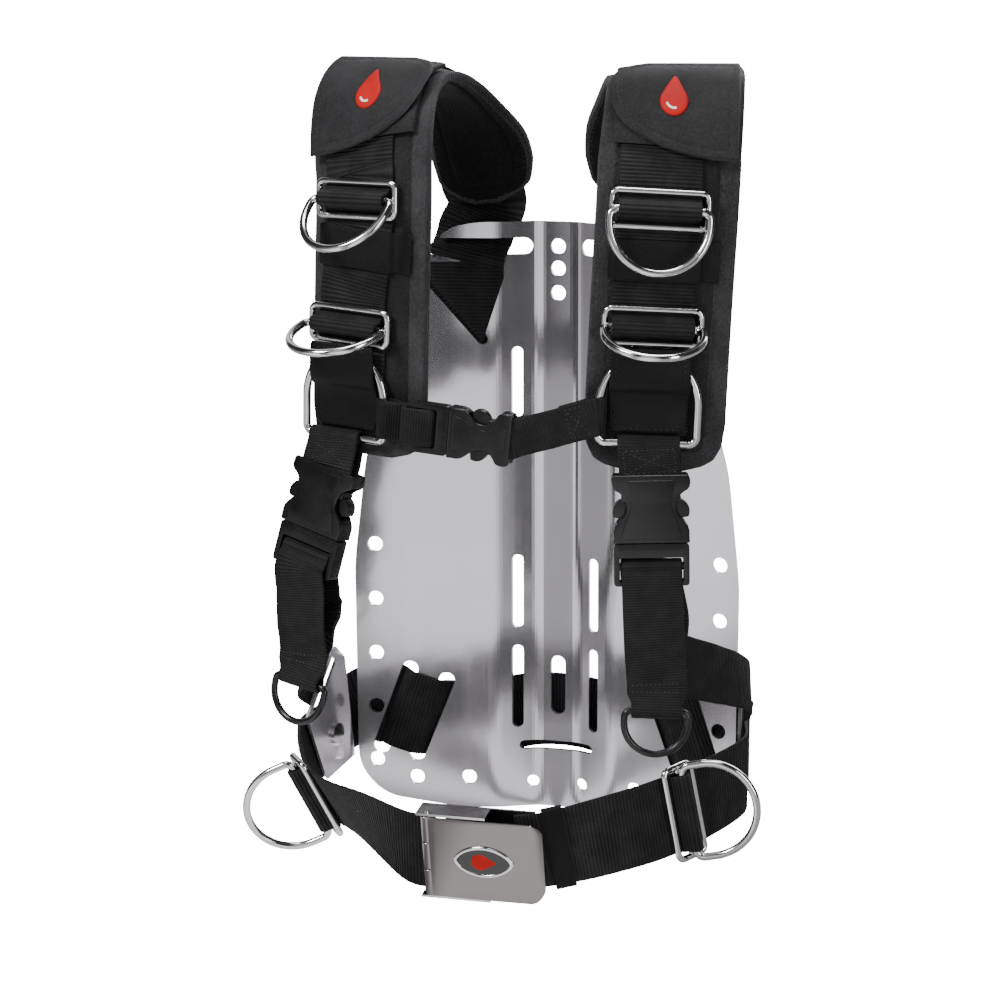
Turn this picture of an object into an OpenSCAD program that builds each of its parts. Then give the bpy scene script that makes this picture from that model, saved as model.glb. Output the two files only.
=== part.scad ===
// Diving harness: a bent steel backplate with padded shoulder straps, a chest strap and a waist belt.
// Drawn from the plate's lower edge: X across, Y from the chest to the back, Z up. placed() then
// moves the middle tank bolt hole, on the plate's back face, to the origin.

/* [Backplate] */
// Height of the plate
plate_h = 394; // [390:1:398]
// Thickness of the sheet
sheet = 3; // [2.8:0.1:3.2]
// Radius of the tank bolt holes
bolt_r = 5; // [4:0.5:6]
// Distance from the middle bolt hole down to the lower slot
bolt_drop = 279.4; // [279:0.1:280]
// Width of the webbing slots
slot_w = 11; // [10:0.5:11]

/* [Webbing] */
// Width of the shoulder and waist webbing
web_w = 50; // [48:1:50]
// Width of the lower adjusting straps
strap_w = 38; // [36:1:38]
// Width of the chest strap
chest_w = 25; // [23:1:25]
// Thickness of the webbing
web_t = 2.2; // [1.8:0.1:2.2]

/* [Shoulder pads] */
// Thickness of the shoulder pads
pad_t = 9; // [8:0.5:9]
// Widest width of the shoulder pads
pad_w = 86; // [80:1:88]

/* [Hardware] */
// Wire radius of the rings
ring_r = 2.5; // [2.2:0.1:2.5]
// Wire radius of the slides
slide_r = 2.1; // [1.8:0.1:2.1]

/* [Hidden] */
$fn = 32;
LEFT = 0;
RIGHT = 1;
SIDES = [LEFT, RIGHT];
SIDE_NAMES = ["left", "right"];
PAIRED = ["shoulder_pad", "shoulder_webbing", "pad_sleeve", "pad_flap", "flap_badge", "strap_slides",
    "d_ring_upper", "d_ring_lower", "chest_ring", "ring_shield", "chest_tab", "buckle_female",
    "buckle_male", "buckle_prong_inner", "buckle_prong_outer", "free_end", "pull_ring",
    "standing_strap", "hip_bracket", "waist_slide", "waist_d_ring", "waist_belt", "sternum_strap"];
SINGLE = ["backplate", "back_slides", "bracket_rivets", "belt_keeper", "waist_frame", "waist_lever",
    "waist_pin", "waist_badge", "sternum_female", "sternum_male", "sternum_prong_upper",
    "sternum_prong_lower"];

BLACK = [0.07, 0.07, 0.08];
PLASTIC = [0.12, 0.12, 0.13];
STEEL = [0.78, 0.78, 0.8];
RED = [0.8, 0.1, 0.08];

// Backplate: depth of the centre channel, half widths of its flat and of its ridges, wing angle
channel_d = 13.5;
flat_x = 13;
ridge_x = 39.5;
wing_a = 13;
bend_cut = 5;
top_hole_z = plate_h - 16;
mid_hole_z = plate_h - 30.5;
low_hole_z = plate_h - 46.5;
// Half of the plate's outline: x, z and how far each corner is rounded back
OUTLINE = [[62, 0, 12], [112, 8, 12], [129, 28, 12], [130, 168, 10], [122, 240, 12],
    [86, 366, 12], [70, 390, 9], [50, 394, 9]];
// Webbing slots of one wing: from, to
SHOULDER_SLOT = [[22, 378], [83, 378]];
ANCHOR_SLOT = [[81, 357], [47, 317.5]];
BELT_SLOTS = [[[95, 95], [114, 42]], [[71.4, 87.3], [90.8, 37.3]]];
// Round holes of one wing
SIDE_HOLES = [[117, 32.6], [117, 69.5], [117, 106], [117, 143], [117, 180], [106, 254.7],
    [91, 20.6], [57, 21]];
// Slots on the slopes beside the channel: lower and upper end
SLOPE_SLOTS = [[58.5, 108], [127, 169.5], [269, 308.6]];
slope_slot_x = 26;

// Shoulder strap routes, from the lower front end over the shoulder: x, y, z, then the across vector
SHOULDER = [
    [[-84, -120, 262, 0.95, -0.31, 0], [-83.5, -120, 300, 0.95, -0.31, 0],
     [-82, -120, 360, 0.95, -0.31, 0], [-80, -120, 421, 0.95, -0.31, 0],
     [-82, -113, 455, 0.95, -0.31, 0], [-84, -94, 482, 0.95, -0.31, 0],
     [-81, -69, 493, 0.93, -0.37, 0], [-70, -42, 490, 0.87, -0.5, 0],
     [-57, -17, 473, 0.87, -0.5, 0], [-49, 0, 445, 0.97, -0.15, 0],
     [-47, 8, 412, 0.98, 0.17, 0]],
    [[98, -120, 262, 0.95, 0.31, 0], [99.5, -120, 300, 0.95, 0.31, 0],
     [102.5, -120, 360, 0.95, 0.31, 0], [106, -120, 421, 0.95, 0.31, 0],
     [106, -113, 455, 0.95, 0.31, 0], [103, -94, 482, 0.95, 0.31, 0],
     [97, -69, 493, 0.93, 0.37, 0], [84, -42, 490, 0.87, 0.5, 0],
     [69, -17, 473, 0.87, 0.5, 0], [58, 0, 445, 0.97, 0.15, 0],
     [53, 8, 412, 0.98, -0.17, 0]]];
// Sideways shift of the webbing on each pad: at the lower end and at the upper slide
WEB_SHIFT = [[-12, -6], [-5, -5]];
UPPER_AT = [3, 3];
LOWER_AT = [1.72, 1.85];
RING_AT = [0.93, 1.07];
// Pad plan: place on the route and part of the full width there
PAD_PLAN = [[-0.02, 0.42], [0.08, 0.66], [0.25, 0.85], [0.5, 0.96], [0.8, 1], [3.8, 1], [4.6, 0.97],
    [6.6, 0.92], [7.8, 0.86], [9, 0.8], [9.5, 0.76], [9.8, 0.7], [9.95, 0.6]];
PAD_ROWS = concat([-0.02, 0.08, 0.25, 0.5, 0.75], [for (i = [4 : 39]) i / 4], [9.95]);

// Standing off from the pad's front face: webbing, slide wires, ring bar, top of the webbing roll
web_lift = web_t / 2 + 0.3;
wire_lift = web_lift + web_t / 2 + 0.1 + slide_r;
bar_lift = wire_lift + slide_r + ring_r + 0.1;
roll_r = ring_r + web_t / 2 + 0.25;
ring_lift = web_lift + web_t / 2 + 0.6 + ring_r;
slide_half_w = 29;
slide_half_h = 10.5;
// The webbing's way through a slide: along the strap, then off the pad
ROLL = [[-16, web_lift], [-slide_half_h, web_lift], [-7.5, web_lift + 0.8], [-5, wire_lift + 0.8],
    for (a = [180 : -30 : 0]) [roll_r * cos(a), bar_lift + roll_r * sin(a)],
    [5, wire_lift + 0.8], [7.5, web_lift + 0.8], [slide_half_h, web_lift], [16, web_lift]];

// Rings: half width and leg length of the D-rings; tilt of each ring at rest
ring_half_w = 30;
ring_corner = 5;
shoulder_leg = 8;
waist_leg = 12;
UPPER_TILT = [40, 10];
LOWER_TILT = [72, 72];
WAIST_TILT = [70, 45];
chest_leg = 24;

// Lower straps: top of each tab, direction down the strap
TAB_TOP = [[-101, -128, 274], [98.5, -129, 281]];
TAB_DOWN = [[-0.24, -0.08, -0.967], [0.03, -0.05, -0.998]];
female_drop = 41;
FREE_END = [
    [[-121, -144.5, 186], [-117, -145.5, 170], [-117, -147, 149], [-121, -149, 124]],
    [[104, -143.5, 187], [107.5, -144.5, 171], [109, -146, 149], [108.5, -148, 121]]];

// Waist belt, from behind the plate round the hip to the buckle on the right, and back on the left:
// x, y, z, then the up vector
BELT = [
    [[-19, -190.5, 29, 0, -0.19, 0.98], [-38, -188.5, 30, 0, -0.19, 0.98], [-66, -171, 35, -0.15, -0.3, 0.94],
     [-99, -142, 37, -0.36, -0.4, 0.84], [-126, -112, 40, -0.3, -0.3, 0.9],
     [-147, -78, 47.5, -0.08, -0.05, 1],
     [-142.5, -50, 54, 0, 0, 1], [-137.5, -21, 61, 0, 0, 1], [-131, -13.5, 66, 0.1, 0, 1],
     [-122, -12.5, 69, 0.3, 0.07, 0.95]],
    [[122, -12.5, 71, -0.3, 0.07, 0.95], [131, -13.5, 69, -0.1, 0, 1], [137.5, -21, 66, 0, 0, 1],
     [142.5, -50, 62, 0, 0, 1], [147, -78, 59, 0, 0, 1], [132, -116, 54, -0.04, 0.05, 1],
     [110, -148, 48, -0.08, 0.08, 0.99], [82, -175, 43, -0.05, 0, 1], [54, -188.5, 37, 0, -0.15, 0.98],
     [35, -190.5, 34, 0, -0.19, 0.98]]];
// How the belt threads the wing: x, then distance in front of the wing's front face
THREAD = [[112, -5], [108.3, -4.6], [104.5, -1.5], [100.7, 1.5],
    [97, 1.9], [89, 1.9], [85, 1.5], [81.2, -1.5], [77.4, -4.6], [73, -5], [62, -5], [50, -5]];
function thread_z(x) = 65.5 + (x - 92.8) * 0.34;
HIP_AT = [6.25, 2.75];
WAIST_RING_AT = [3.75, 5.55];
buckle_at = [8, -190, 31];
buckle_up = [0, -0.19, 0.98];

// Chest strap: buckle centre and axis, ring ends
sternum_at = [-13, -153, 284.5];
sternum_axis = [0.996, 0, -0.092];
sternum_up = [0.092, 0, 0.996];

// ---- points and routes ----

function unit(v) = v / norm(v);
function side_name(n, s) = str(n, "_", SIDE_NAMES[s]);
function sign_of(s) = s == LEFT ? -1 : 1;
function mix(a, b, t) = a + (b - a) * t;

// A corner at q between p and r, rounded back by cut
function soft_corner(p, q, r, cut, n = 5) = let (a = q + unit(p - q) * cut, b = q + unit(r - q) * cut)
    [for (i = [0 : n]) let (t = i / n) a * (1 - t) * (1 - t) + q * 2 * t * (1 - t) + b * t * t];

function catmull(a, b, c, d, t) = 0.5 * (2 * b + (c - a) * t + (2 * a - 5 * b + 4 * c - d) * t * t
    + (3 * b - a - 3 * c + d) * t * t * t);

// The point of a route at place s, counted in route points; beyond the ends it runs straight on
function along(route, s) = let (last = len(route) - 1, i = max(0, min(last - 1, floor(s))))
    s < 0 || s > last ? route[i] + (route[i + 1] - route[i]) * (s - i)
    : catmull(route[max(i - 1, 0)], route[i], route[i + 1], route[min(i + 2, last)], s - i);

function xyz(v) = [v[0], v[1], v[2]];

// A frame on a route: [centre, across, outward normal, tangent], lifted and shifted
function on_route(route, s, lift = 0, shift = 0) = let (
    v = along(route, s), t = unit(xyz(along(route, s + 0.04)) - xyz(along(route, s - 0.04))),
    a0 = [v[3], v[4], v[5]], a = unit(a0 - t * (a0 * t)), n = cross(a, t))
    [xyz(v) + n * lift + a * shift, a, n, t];

// The point at across, outward and along distances from a frame
function off(f, across, out, up) = f[0] + f[1] * across + f[2] * out + f[3] * up;
function moved(f, across, out, up) = [off(f, across, out, up), f[1], f[2], f[3]];

// A frame from a centre, an up direction and a rough across direction
function frame_at(c, up, across) = let (t = unit(up), a = unit(across - t * (across * t)))
    [c, a, cross(a, t), t];

// Children drawn with X across, -Y outward and Z along the strap
module in_frame(f) {
    multmatrix([[f[1][0], -f[2][0], f[3][0], f[0][0]], [f[1][1], -f[2][1], f[3][1], f[0][1]],
        [f[1][2], -f[2][2], f[3][2], f[0][2]], [0, 0, 0, 1]]) children();
}

module placed() {
    translate([0, -(channel_d + sheet), -mid_hole_z]) children();
}

// ---- soft shapes ----

// One section of a strip: flat for webbing, with thinner edges for a pad
function section(f, w, t, edge) = edge == 0
    ? [off(f, -w / 2, -t / 2, 0), off(f, w / 2, -t / 2, 0), off(f, w / 2, t / 2, 0), off(f, -w / 2, t / 2, 0)]
    : [off(f, -w / 2 + edge, -t / 2, 0), off(f, w / 2 - edge, -t / 2, 0), off(f, w / 2, -t / 5, 0),
       off(f, w / 2, t / 5, 0), off(f, w / 2 - edge, t / 2, 0), off(f, -w / 2 + edge, t / 2, 0),
       off(f, -w / 2, t / 5, 0), off(f, -w / 2, -t / 5, 0)];

// A closed strip through the frames, with a width for each and one thickness
module strip(frames, widths, t, edge = 0) {
    n = edge == 0 ? 4 : 8;
    m = len(frames);
    rings = [for (i = [0 : m - 1]) each section(frames[i], widths[min(i, len(widths) - 1)], t, edge)];
    sides = [for (i = [0 : m - 2]) for (k = [0 : n - 1]) let (a = i * n + k, b = i * n + (k + 1) % n)
        each k < n / 2 ? [[a, b + n, a + n], [a, b, b + n]] : [[a, b, a + n], [b, b + n, a + n]]];
    ends = [for (k = [1 : n - 2]) each [[0, k + 1, k], [(m - 1) * n, (m - 1) * n + k, (m - 1) * n + k + 1]]];
    polyhedron(rings, concat(sides, ends), convexity = 10);
}

// Webbing folded round a bar that lies along X
module web_loop(bar_r, w) {
    rotate([0, 90, 0]) difference() {
        cylinder(r = bar_r + 0.3 + web_t, h = w, center = true);
        cylinder(r = bar_r + 0.3, h = w + 1, center = true);
    }
}

// ---- wire shapes, in the XZ plane ----

module wire(from, to, r) {
    d = to - from;
    translate([from[0], 0, from[1]]) rotate([0, atan2(d[0], d[1]), 0]) cylinder(r = r, h = norm(d));
}

module wire_arc(c, bend, from, sweep, r) {
    translate([c[0], 0, c[1]]) rotate([90, 0, 0]) rotate([0, 0, from])
        rotate_extrude(angle = sweep, $fn = 72) translate([bend, 0]) circle(r, $fn = 20);
}

// A D-ring hanging from the origin by a bar along X, tilted outward
module d_ring(leg, tilt) {
    x = ring_half_w;
    c = ring_corner;
    rotate([-tilt, 0, 0]) union() {
        wire([-x + c, 0], [x - c, 0], ring_r);
        for (m = [-1, 1]) {
            wire([m * x, -c], [m * x, -leg], ring_r);
            wire_arc([m * (x - c), -c], c, m > 0 ? 0 : 90, 90, ring_r);
        }
        wire_arc([0, -leg], x, 180, 180, ring_r);
    }
}

// A wire slide with a middle bar
module wire_slide(half_w, half_h, r) {
    c = 4;
    for (m = [-1, 1]) {
        wire([-half_w + c, m * half_h], [half_w - c, m * half_h], r);
        wire([m * half_w, -half_h + c], [m * half_w, half_h - c], r);
        for (k = [-1, 1])
            wire_arc([m * (half_w - c), k * (half_h - c)], c,
                m > 0 ? (k > 0 ? 0 : 270) : (k > 0 ? 90 : 180), 90, r);
    }
    wire([-half_w, 0], [half_w, 0], r);
}

// ---- backplate ----

function mirror_x(points) = [for (i = [len(points) - 1 : -1 : 0]) [-points[i][0], points[i][1]]];
function wing_y(x, out) = -(x - ridge_x) * tan(wing_a) - out;

module plate_profile() {
    tip = [150, wing_y(150, 0)];
    ridge = [ridge_x, 0];
    foot = [flat_x, channel_d];
    half = concat(soft_corner([0, channel_d], foot, ridge, bend_cut),
        soft_corner(foot, ridge, tip, bend_cut), [tip]);
    front = concat(mirror_x(half), half);
    last = len(front) - 1;
    back = [for (i = [last : -1 : 0]) let (d = unit(front[min(i + 1, last)] - front[max(i - 1, 0)]))
        front[i] + sheet * [-d[1], d[0]]];
    polygon(concat(front, back));
}

module plate_outline() {
    corners = [for (p = OUTLINE) [p[0], p[1]]];
    n = len(corners);
    half = [for (i = [0 : n - 1]) each soft_corner(i == 0 ? [0, 0] : corners[i - 1], corners[i],
        i == n - 1 ? [0, plate_h] : corners[i + 1], OUTLINE[i][2])];
    polygon(concat(half, mirror_x(half)));
}

// A round-ended slot through the plate, from one point of the XZ plane to another
module slot(from, to, w) {
    d = to - from;
    translate([from[0], 60, from[1]]) rotate([90, -atan2(d[1], d[0]), 0]) {
        for (x = [0, norm(d)]) translate([x, 0, 0]) cylinder(d = w, h = 120);
        translate([0, -w / 2, 0]) cube([norm(d), w, 120]);
    }
}

module hole(x, z, r) {
    translate([x, 60, z]) rotate([90, 0, 0]) cylinder(r = r, h = 120);
}

module backplate() {
    slot_z = mid_hole_z - bolt_drop;
    color(STEEL) placed() difference() {
        intersection() {
            translate([0, 0, -5]) linear_extrude(plate_h + 10) plate_profile();
            translate([0, 60, 0]) rotate([90, 0, 0]) linear_extrude(120) plate_outline();
        }
        for (z = [top_hole_z, mid_hole_z, low_hole_z]) hole(0, z, bolt_r);
        slot([0, slot_z - 15], [0, slot_z + 15], 2 * bolt_r);
        slot([-22, 42.5], [22, 42.5], 6);
        for (m = [-1, 1]) mirror([m < 0 ? 1 : 0, 0, 0]) {
            slot(SHOULDER_SLOT[0], SHOULDER_SLOT[1], slot_w);
            slot(ANCHOR_SLOT[0], ANCHOR_SLOT[1], 7);
            for (b = BELT_SLOTS) slot(b[0], b[1], slot_w);
            for (p = SLOPE_SLOTS) slot([slope_slot_x, p[0]], [slope_slot_x, p[1]], 7);
            for (p = SIDE_HOLES) hole(p[0], p[1], bolt_r);
            hole(17, 17, 4);
        }
    }
}

// ---- shoulder straps ----

function web_shift(s, at) = mix(WEB_SHIFT[s][0], WEB_SHIFT[s][1], min(1, max(0, (at - 1) / 2)));
function web_frame(s, at, lift) = on_route(SHOULDER[s], at, pad_t / 2 + lift, web_shift(s, at));
function roll_frames(s, at) = let (f = web_frame(s, at, 0), last = len(ROLL) - 1) [for (i = [0 : last])
    let (d = unit(ROLL[min(i + 1, last)] - ROLL[max(i - 1, 0)]))
    [off(f, 0, ROLL[i][1], ROLL[i][0]), f[1], f[2] * d[0] - f[3] * d[1], f[3] * d[0] + f[2] * d[1]]];
function pad_frames(s, from, to, step, lift, shift) =
    [for (at = [from : step : to]) on_route(SHOULDER[s], at, lift, shift)];

module shoulder_pad(s) {
    color(BLACK) placed()
        strip([for (at = PAD_ROWS) on_route(SHOULDER[s], at)],
            [for (at = PAD_ROWS) pad_w * lookup(at, PAD_PLAN)],
            pad_t, 6);
}

// Frames behind and through the top slot, then down the wing's front
function anchor_frames(s) = [for (p = [[48, -18, 406], [50, -12.5, 396], [53, -9, 388], [54, -8, 384],
    [55, -3.2, 378], [56, 1.8, 372.4], [57, 2.1, 368]])
    frame_at([sign_of(s) * p[0], wing_y(p[0], p[1]), p[2]], [0, 0, -1], [1, -sign_of(s) * tan(wing_a), 0])];

module on_wing(s) {
    mirror([s == LEFT ? 1 : 0, 0, 0]) translate([ridge_x, 0, 0]) rotate([0, 0, -wing_a]) children();
}

// A flat web shape on the wing, standing off its front face: points in the wing's own X and Z
module wing_web(points, off_face) {
    translate([-ridge_x, -off_face, 0]) rotate([90, 0, 0]) linear_extrude(web_t) polygon(points);
}

module shoulder_webbing(s) {
    d = unit(ANCHOR_SLOT[1] - ANCHOR_SLOT[0]);
    color(BLACK) placed() {
        strip(concat([for (at = [-0.4, 0]) web_frame(s, RING_AT[s] + at, web_lift)],
            roll_frames(s, LOWER_AT[s]),
            [for (at = [2.25, 2.5]) web_frame(s, at, web_lift)], roll_frames(s, UPPER_AT[s]),
            [for (at = [3.5 : 0.25 : 9.8]) web_frame(s, at, web_lift + max(0, at - 8) / 2)],
            anchor_frames(s)), [web_w], web_t);
        on_wing(s) {
            wing_web([[33, 367], [83, 367], [82, 358], [81, 354.5], [50, 318.5], [47, 316]], 0.5);
            translate([-ridge_x, 5.5, 0]) rotate([90, 0, 0]) linear_extrude(7)
                polygon([for (q = [[3, -1.1], [49, -1.1], [49, 1.1], [3, 1.1]])
                    ANCHOR_SLOT[0] + d * q[0] + [d[1], -d[0]] * q[1]]);
            wing_web([[42, 262], [86, 262], [86, 348], [82, 356], [78, 356], [47, 322], [42, 318]],
                -sheet - 0.4 - web_t);
        }
    }
}

// Bands sewn round the pad: a sleeve between the slides and the flap's base
band_lift = web_lift + web_t / 2 + 1.5;
module pad_sleeve(s) {
    f = on_route(SHOULDER[s], 2.48, pad_t / 2, 0);
    top = band_lift;
    x = web_shift(s, 2.48);
    across = [[-38, 0.9], [x - 29, 1], [x - 26.5, top], [x + 26.5, top], [x + 29, 1], [38, 0.9]];
    color(BLACK) placed() {
        strip([for (i = [0 : 5]) let (p = across[i], d = unit(across[min(i + 1, 5)] - across[max(i - 1, 0)]))
            [off(f, p[0], p[1], 0), -f[3], f[1] * -d[1] + f[2] * d[0], f[1] * d[0] + f[2] * d[1]]],
            [25], 1.2);
        strip(pad_frames(s, 3.7, 6.2, 0.25, pad_t / 2 + top, 0), [pad_w - 4], 1.4);
    }
}

// The hook-and-loop flap: place on the route, part of its width that is drawn in from the inner edge
FLAP = [[3.8, 0.8], [3.87, 0.6], [4, 0.38], [4.25, 0.16], [4.5, 0.06], [4.75, 0.02], [5, 0], [5.25, 0.02],
    [5.5, 0.06], [5.75, 0.14], [6, 0.3]];
flap_w = pad_w - 6;
flap_lift = pad_t / 2 + band_lift + 0.7 + 0.6 + 1;

module pad_flap(s) {
    color(BLACK) placed() strip([for (p = FLAP)
        on_route(SHOULDER[s], p[0], flap_lift, sign_of(s) * flap_w * p[1] / 2)],
        [for (p = FLAP) flap_w * (1 - p[1])], 2);
}

module flap_badge(s) {
    color(RED) placed() in_frame(on_route(SHOULDER[s], 4.75, flap_lift + 1.5, 0)) {
        rotate([90, 0, 0]) cylinder(r = 7.5, h = 1.2);
        rotate([90, 0, 0]) linear_extrude(1.2) polygon([[-6.6, 3.6], [6.6, 3.6], [0, 17]]);
    }
}

module strap_slides(s) {
    color(STEEL) placed() for (at = [UPPER_AT[s], LOWER_AT[s]])
        in_frame(web_frame(s, at, wire_lift)) wire_slide(slide_half_w, slide_half_h, slide_r);
}

module shoulder_ring(s, at, tilt) {
    color(STEEL) placed() in_frame(web_frame(s, at, bar_lift)) d_ring(shoulder_leg, tilt);
}

// The big chest ring: a flat bar below, an arch above
module chest_ring(s) {
    x = ring_half_w;
    c = ring_corner;
    color(STEEL) placed() in_frame(web_frame(s, RING_AT[s], ring_lift)) {
        wire_arc([0, 0], x, 0, 180, ring_r);
        wire([-x + c, -chest_leg], [x - c, -chest_leg], ring_r);
        for (m = [-1, 1]) {
            wire([m * x, 0], [m * x, c - chest_leg], ring_r);
            wire_arc([m * (x - c), c - chest_leg], c, m > 0 ? 270 : 180, 90, ring_r);
        }
    }
}

// A smooth patch that covers the webbing's end and the top of the ring
module ring_shield(s) {
    f = web_frame(s, RING_AT[s], 0);
    low = web_lift + web_t / 2 + 1.3;
    over = web_lift + web_t / 2 + 2 * ring_r + 2;
    rows = [[-18, low, 40], [-14, low, 45], [4, low, 48],
        [10.5, over - 1, 48], [14, over, 48], [34.5, over, 47]];
    last = len(rows) - 1;
    color(BLACK) placed() strip([for (i = [0 : last]) frame_at(off(f, 0, rows[i][1], rows[i][0]),
        off(f, 0, rows[min(i + 1, last)][1], rows[min(i + 1, last)][0])
        - off(f, 0, rows[max(i - 1, 0)][1], rows[max(i - 1, 0)][0]), f[1])], [for (r = rows) r[2]], 1.8);
}

// ---- side-release buckles, with the release axis along Z ----

// Half outline of the female shell, from its web end down to its mouth
function shell_half(w, l) = [[w, l / 2], [w, l / 2 - 7], [w - 2, l / 2 - 10], [w - 6.5, l / 2 - 14],
    [w - 7.5, l * 0.06], [w - 6.5, -l * 0.14], [w - 1.5, -l * 0.24], [w - 0.5, -l / 2]];

// The female shell: w is its half width, l its length, t its depth
module female_shell(w, l, t) {
    half = shell_half(w, l);
    difference() {
        rotate([90, 0, 0]) translate([0, 0, -t / 2]) linear_extrude(t) polygon(concat(half, mirror_x(half)));
        translate([0, 0, -l / 2 + l * 0.35 - 1]) cube([2 * w - 5, t - 4.4, l * 0.7], center = true);
        translate([0, 0, l / 2 - 3.5]) cube([2 * w - 7, t + 1, 9], center = true);
    }
    translate([0, 0, l / 2 - 2]) rotate([0, 90, 0]) cylinder(r = 2, h = 2 * w - 5, center = true);
}

// The male body below the mouth: a frame with a ladder bar, and a middle guide
module male_body(w, l, t) {
    difference() {
        translate([0, 0, -l / 2]) cube([2 * w - 2, t - 4, l], center = true);
        translate([0, 0, -l / 2 - 1.5]) cube([2 * w - 9, t, l - 8], center = true);
    }
    translate([0, 0, -l / 2 - 1.5]) rotate([0, 90, 0]) cylinder(r = 2.4, h = 2 * w - 4, center = true);
    translate([0, 0, 5]) cube([5, t - 6, 12], center = true);
}

// One spring prong on the +X side, rising from the male body's top
module male_prong(w, l, t) {
    rotate([90, 0, 0]) translate([0, 0, -(t - 6) / 2]) linear_extrude(t - 6)
        polygon([[w - 10, 0.3], [w - 7, 0.3], [w - 7, l * 0.37], [w - 1.2, l * 0.39], [w - 0.4, l * 0.46],
            [w - 1, l * 0.55], [w - 4, l * 0.63], [w - 8, l * 0.66], [w - 10, l * 0.62]]);
}

lower_w = 24;
lower_l = 42;
lower_t = 14;
ladder_l = 26;
function lower_frame(s, drop) = let (f = frame_at(TAB_TOP[s], -TAB_DOWN[s], [1, 0.31 * sign_of(s), 0]))
    moved(f, 0, 1.5, -drop);

// Frames of webbing round a bar, from behind it over the top to the front as the angle grows
function round_bar(f, r, from, to) = [for (a = [from : 30 : to])
    frame_at(off(f, 0, -r * cos(a), r * sin(a)), f[2] * sin(a) + f[3] * cos(a), f[1])];

module chest_tab(s) {
    bar = moved(web_frame(s, RING_AT[s], ring_lift), s == LEFT ? -6 : 1, 0, -chest_leg);
    low = moved(lower_frame(s, female_drop), 0, 0, lower_l / 2 - 2);
    frames = concat(round_bar(bar, ring_r + 0.3 + web_t / 2, 0, 180),
        round_bar(low, 2.3 + web_t / 2, 180, 360));
    last = frames[len(frames) - 1];
    color(BLACK) placed()
        strip(concat(frames, [frame_at(mix(last[0], frames[0][0], 0.8), frames[0][0] - last[0], bar[1])]),
            [strap_w], web_t);
}

module buckle_female(s) {
    color(PLASTIC) placed() in_frame(lower_frame(s, female_drop)) {
        female_shell(lower_w, lower_l, lower_t);
    }
}

module buckle_male(s) {
    color(PLASTIC) placed() in_frame(lower_frame(s, female_drop + lower_l / 2 + 0.5))
        male_body(lower_w, ladder_l, lower_t);
}

module buckle_prong(s, m) {
    color(PLASTIC) placed() in_frame(lower_frame(s, female_drop + lower_l / 2 + 0.5))
        mirror([m < 0 ? 1 : 0, 0, 0]) male_prong(lower_w, lower_l, lower_t);
}

// The free end: over the ladder bar, down, and folded round the pull ring
function ladder_frame(s) = lower_frame(s, female_drop + lower_l / 2 + 0.5 + ladder_l / 2 + 1.5);
ladder_r = 2.4 + 0.3 + web_t / 2;
ladder_front = lower_t / 2 - 2 + web_t / 2 + 0.3;
function free_frames(s) = let (f = ladder_frame(s)) concat(round_bar(f, ladder_r, 20, 200),
    [frame_at(off(f, 0, ladder_front - 0.8, -4.6), f[2] * 0.6 - f[3], f[1]),
     frame_at(off(f, 0, ladder_front, -7.5), -f[3], f[1]),
     frame_at(off(f, 0, ladder_front + 0.3, -12), -f[3], f[1])],
    [for (k = [0 : 0.5 : 3]) let (p = along(FREE_END[s], k), q = along(FREE_END[s], k + 0.05))
        frame_at(p, q - p, f[1])]);
function pull_frame(s) = let (
    f = frame_at(FREE_END[s][3], FREE_END[s][2] - FREE_END[s][3], ladder_frame(s)[1]))
    moved(f, 0, 0, -4.2);

module free_end(s) {
    color(BLACK) placed() {
        strip(free_frames(s), [strap_w - 1], web_t);
        in_frame(pull_frame(s)) web_loop(2, strap_w - 6);
    }
}

module pull_ring(s) {
    x = 19.5;
    color(PLASTIC) placed() in_frame(pull_frame(s)) {
        wire([-x + 4, 0], [x - 4, 0], 2);
        wire_arc([0, -7], x, 180, 180, 2.2);
        for (m = [-1, 1]) {
            wire([m * x, -4], [m * x, -7], 2.2);
            wire_arc([m * (x - 4), -4], 4, m > 0 ? 0 : 90, 90, 2.1);
        }
    }
}

// ---- waist belt ----

// Across and outward frames of the belt; x runs along the belt
function belt_frame(s, at, lift) = on_route(BELT[s], at, lift, 0);
function thread_frames(s) = let (
    pts = [for (p = THREAD) [sign_of(s) * p[0], wing_y(p[0], p[1]), thread_z(p[0])]],
    last = len(pts) - 1) [for (i = [0 : last]) let (
        t = unit(sign_of(s) * (pts[max(i - 1, 0)] - pts[min(i + 1, last)])),
        a0 = [-0.34 * sign_of(s), 0.08, 0.94], a = unit(a0 - t * (a0 * t))) [pts[i], a, cross(a, t), t]];
function reversed(v) = [for (i = [len(v) - 1 : -1 : 0]) v[i]];

module waist_belt(s) {
    last = len(BELT[s]) - 1;
    run = [for (at = [0 : 0.34 : last]) belt_frame(s, at, 0)];
    color(BLACK) placed()
        strip(s == LEFT ? concat(run, thread_frames(s)) : concat(reversed(thread_frames(s)), run),
            [web_w], web_t);
}

bracket_gap = 1.6;

// A frame at the belt whose Z is the belt's up and whose X runs towards the buckle
function hip_frame(s) = let (m = sign_of(s), f = belt_frame(s, HIP_AT[s], 0),
    x = unit(xyz(along(BELT[s], HIP_AT[s] + m)) - xyz(along(BELT[s], HIP_AT[s] - m * 0.6))),
    a = unit(f[1] - x * (f[1] * x))) [f[0], x, cross(a, x) * m, a];

module hip_plate() {
    rotate([90, 0, 0]) linear_extrude(2) difference() {
        polygon([[-19, -26], [16, -26], [19, -22], [27, 10], [31, 27], [-7, 58], [-13, 58], [-22, 46]]);
        translate([6, 39]) rotate(-38) square([40, 6], center = true);
    }
}

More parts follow.
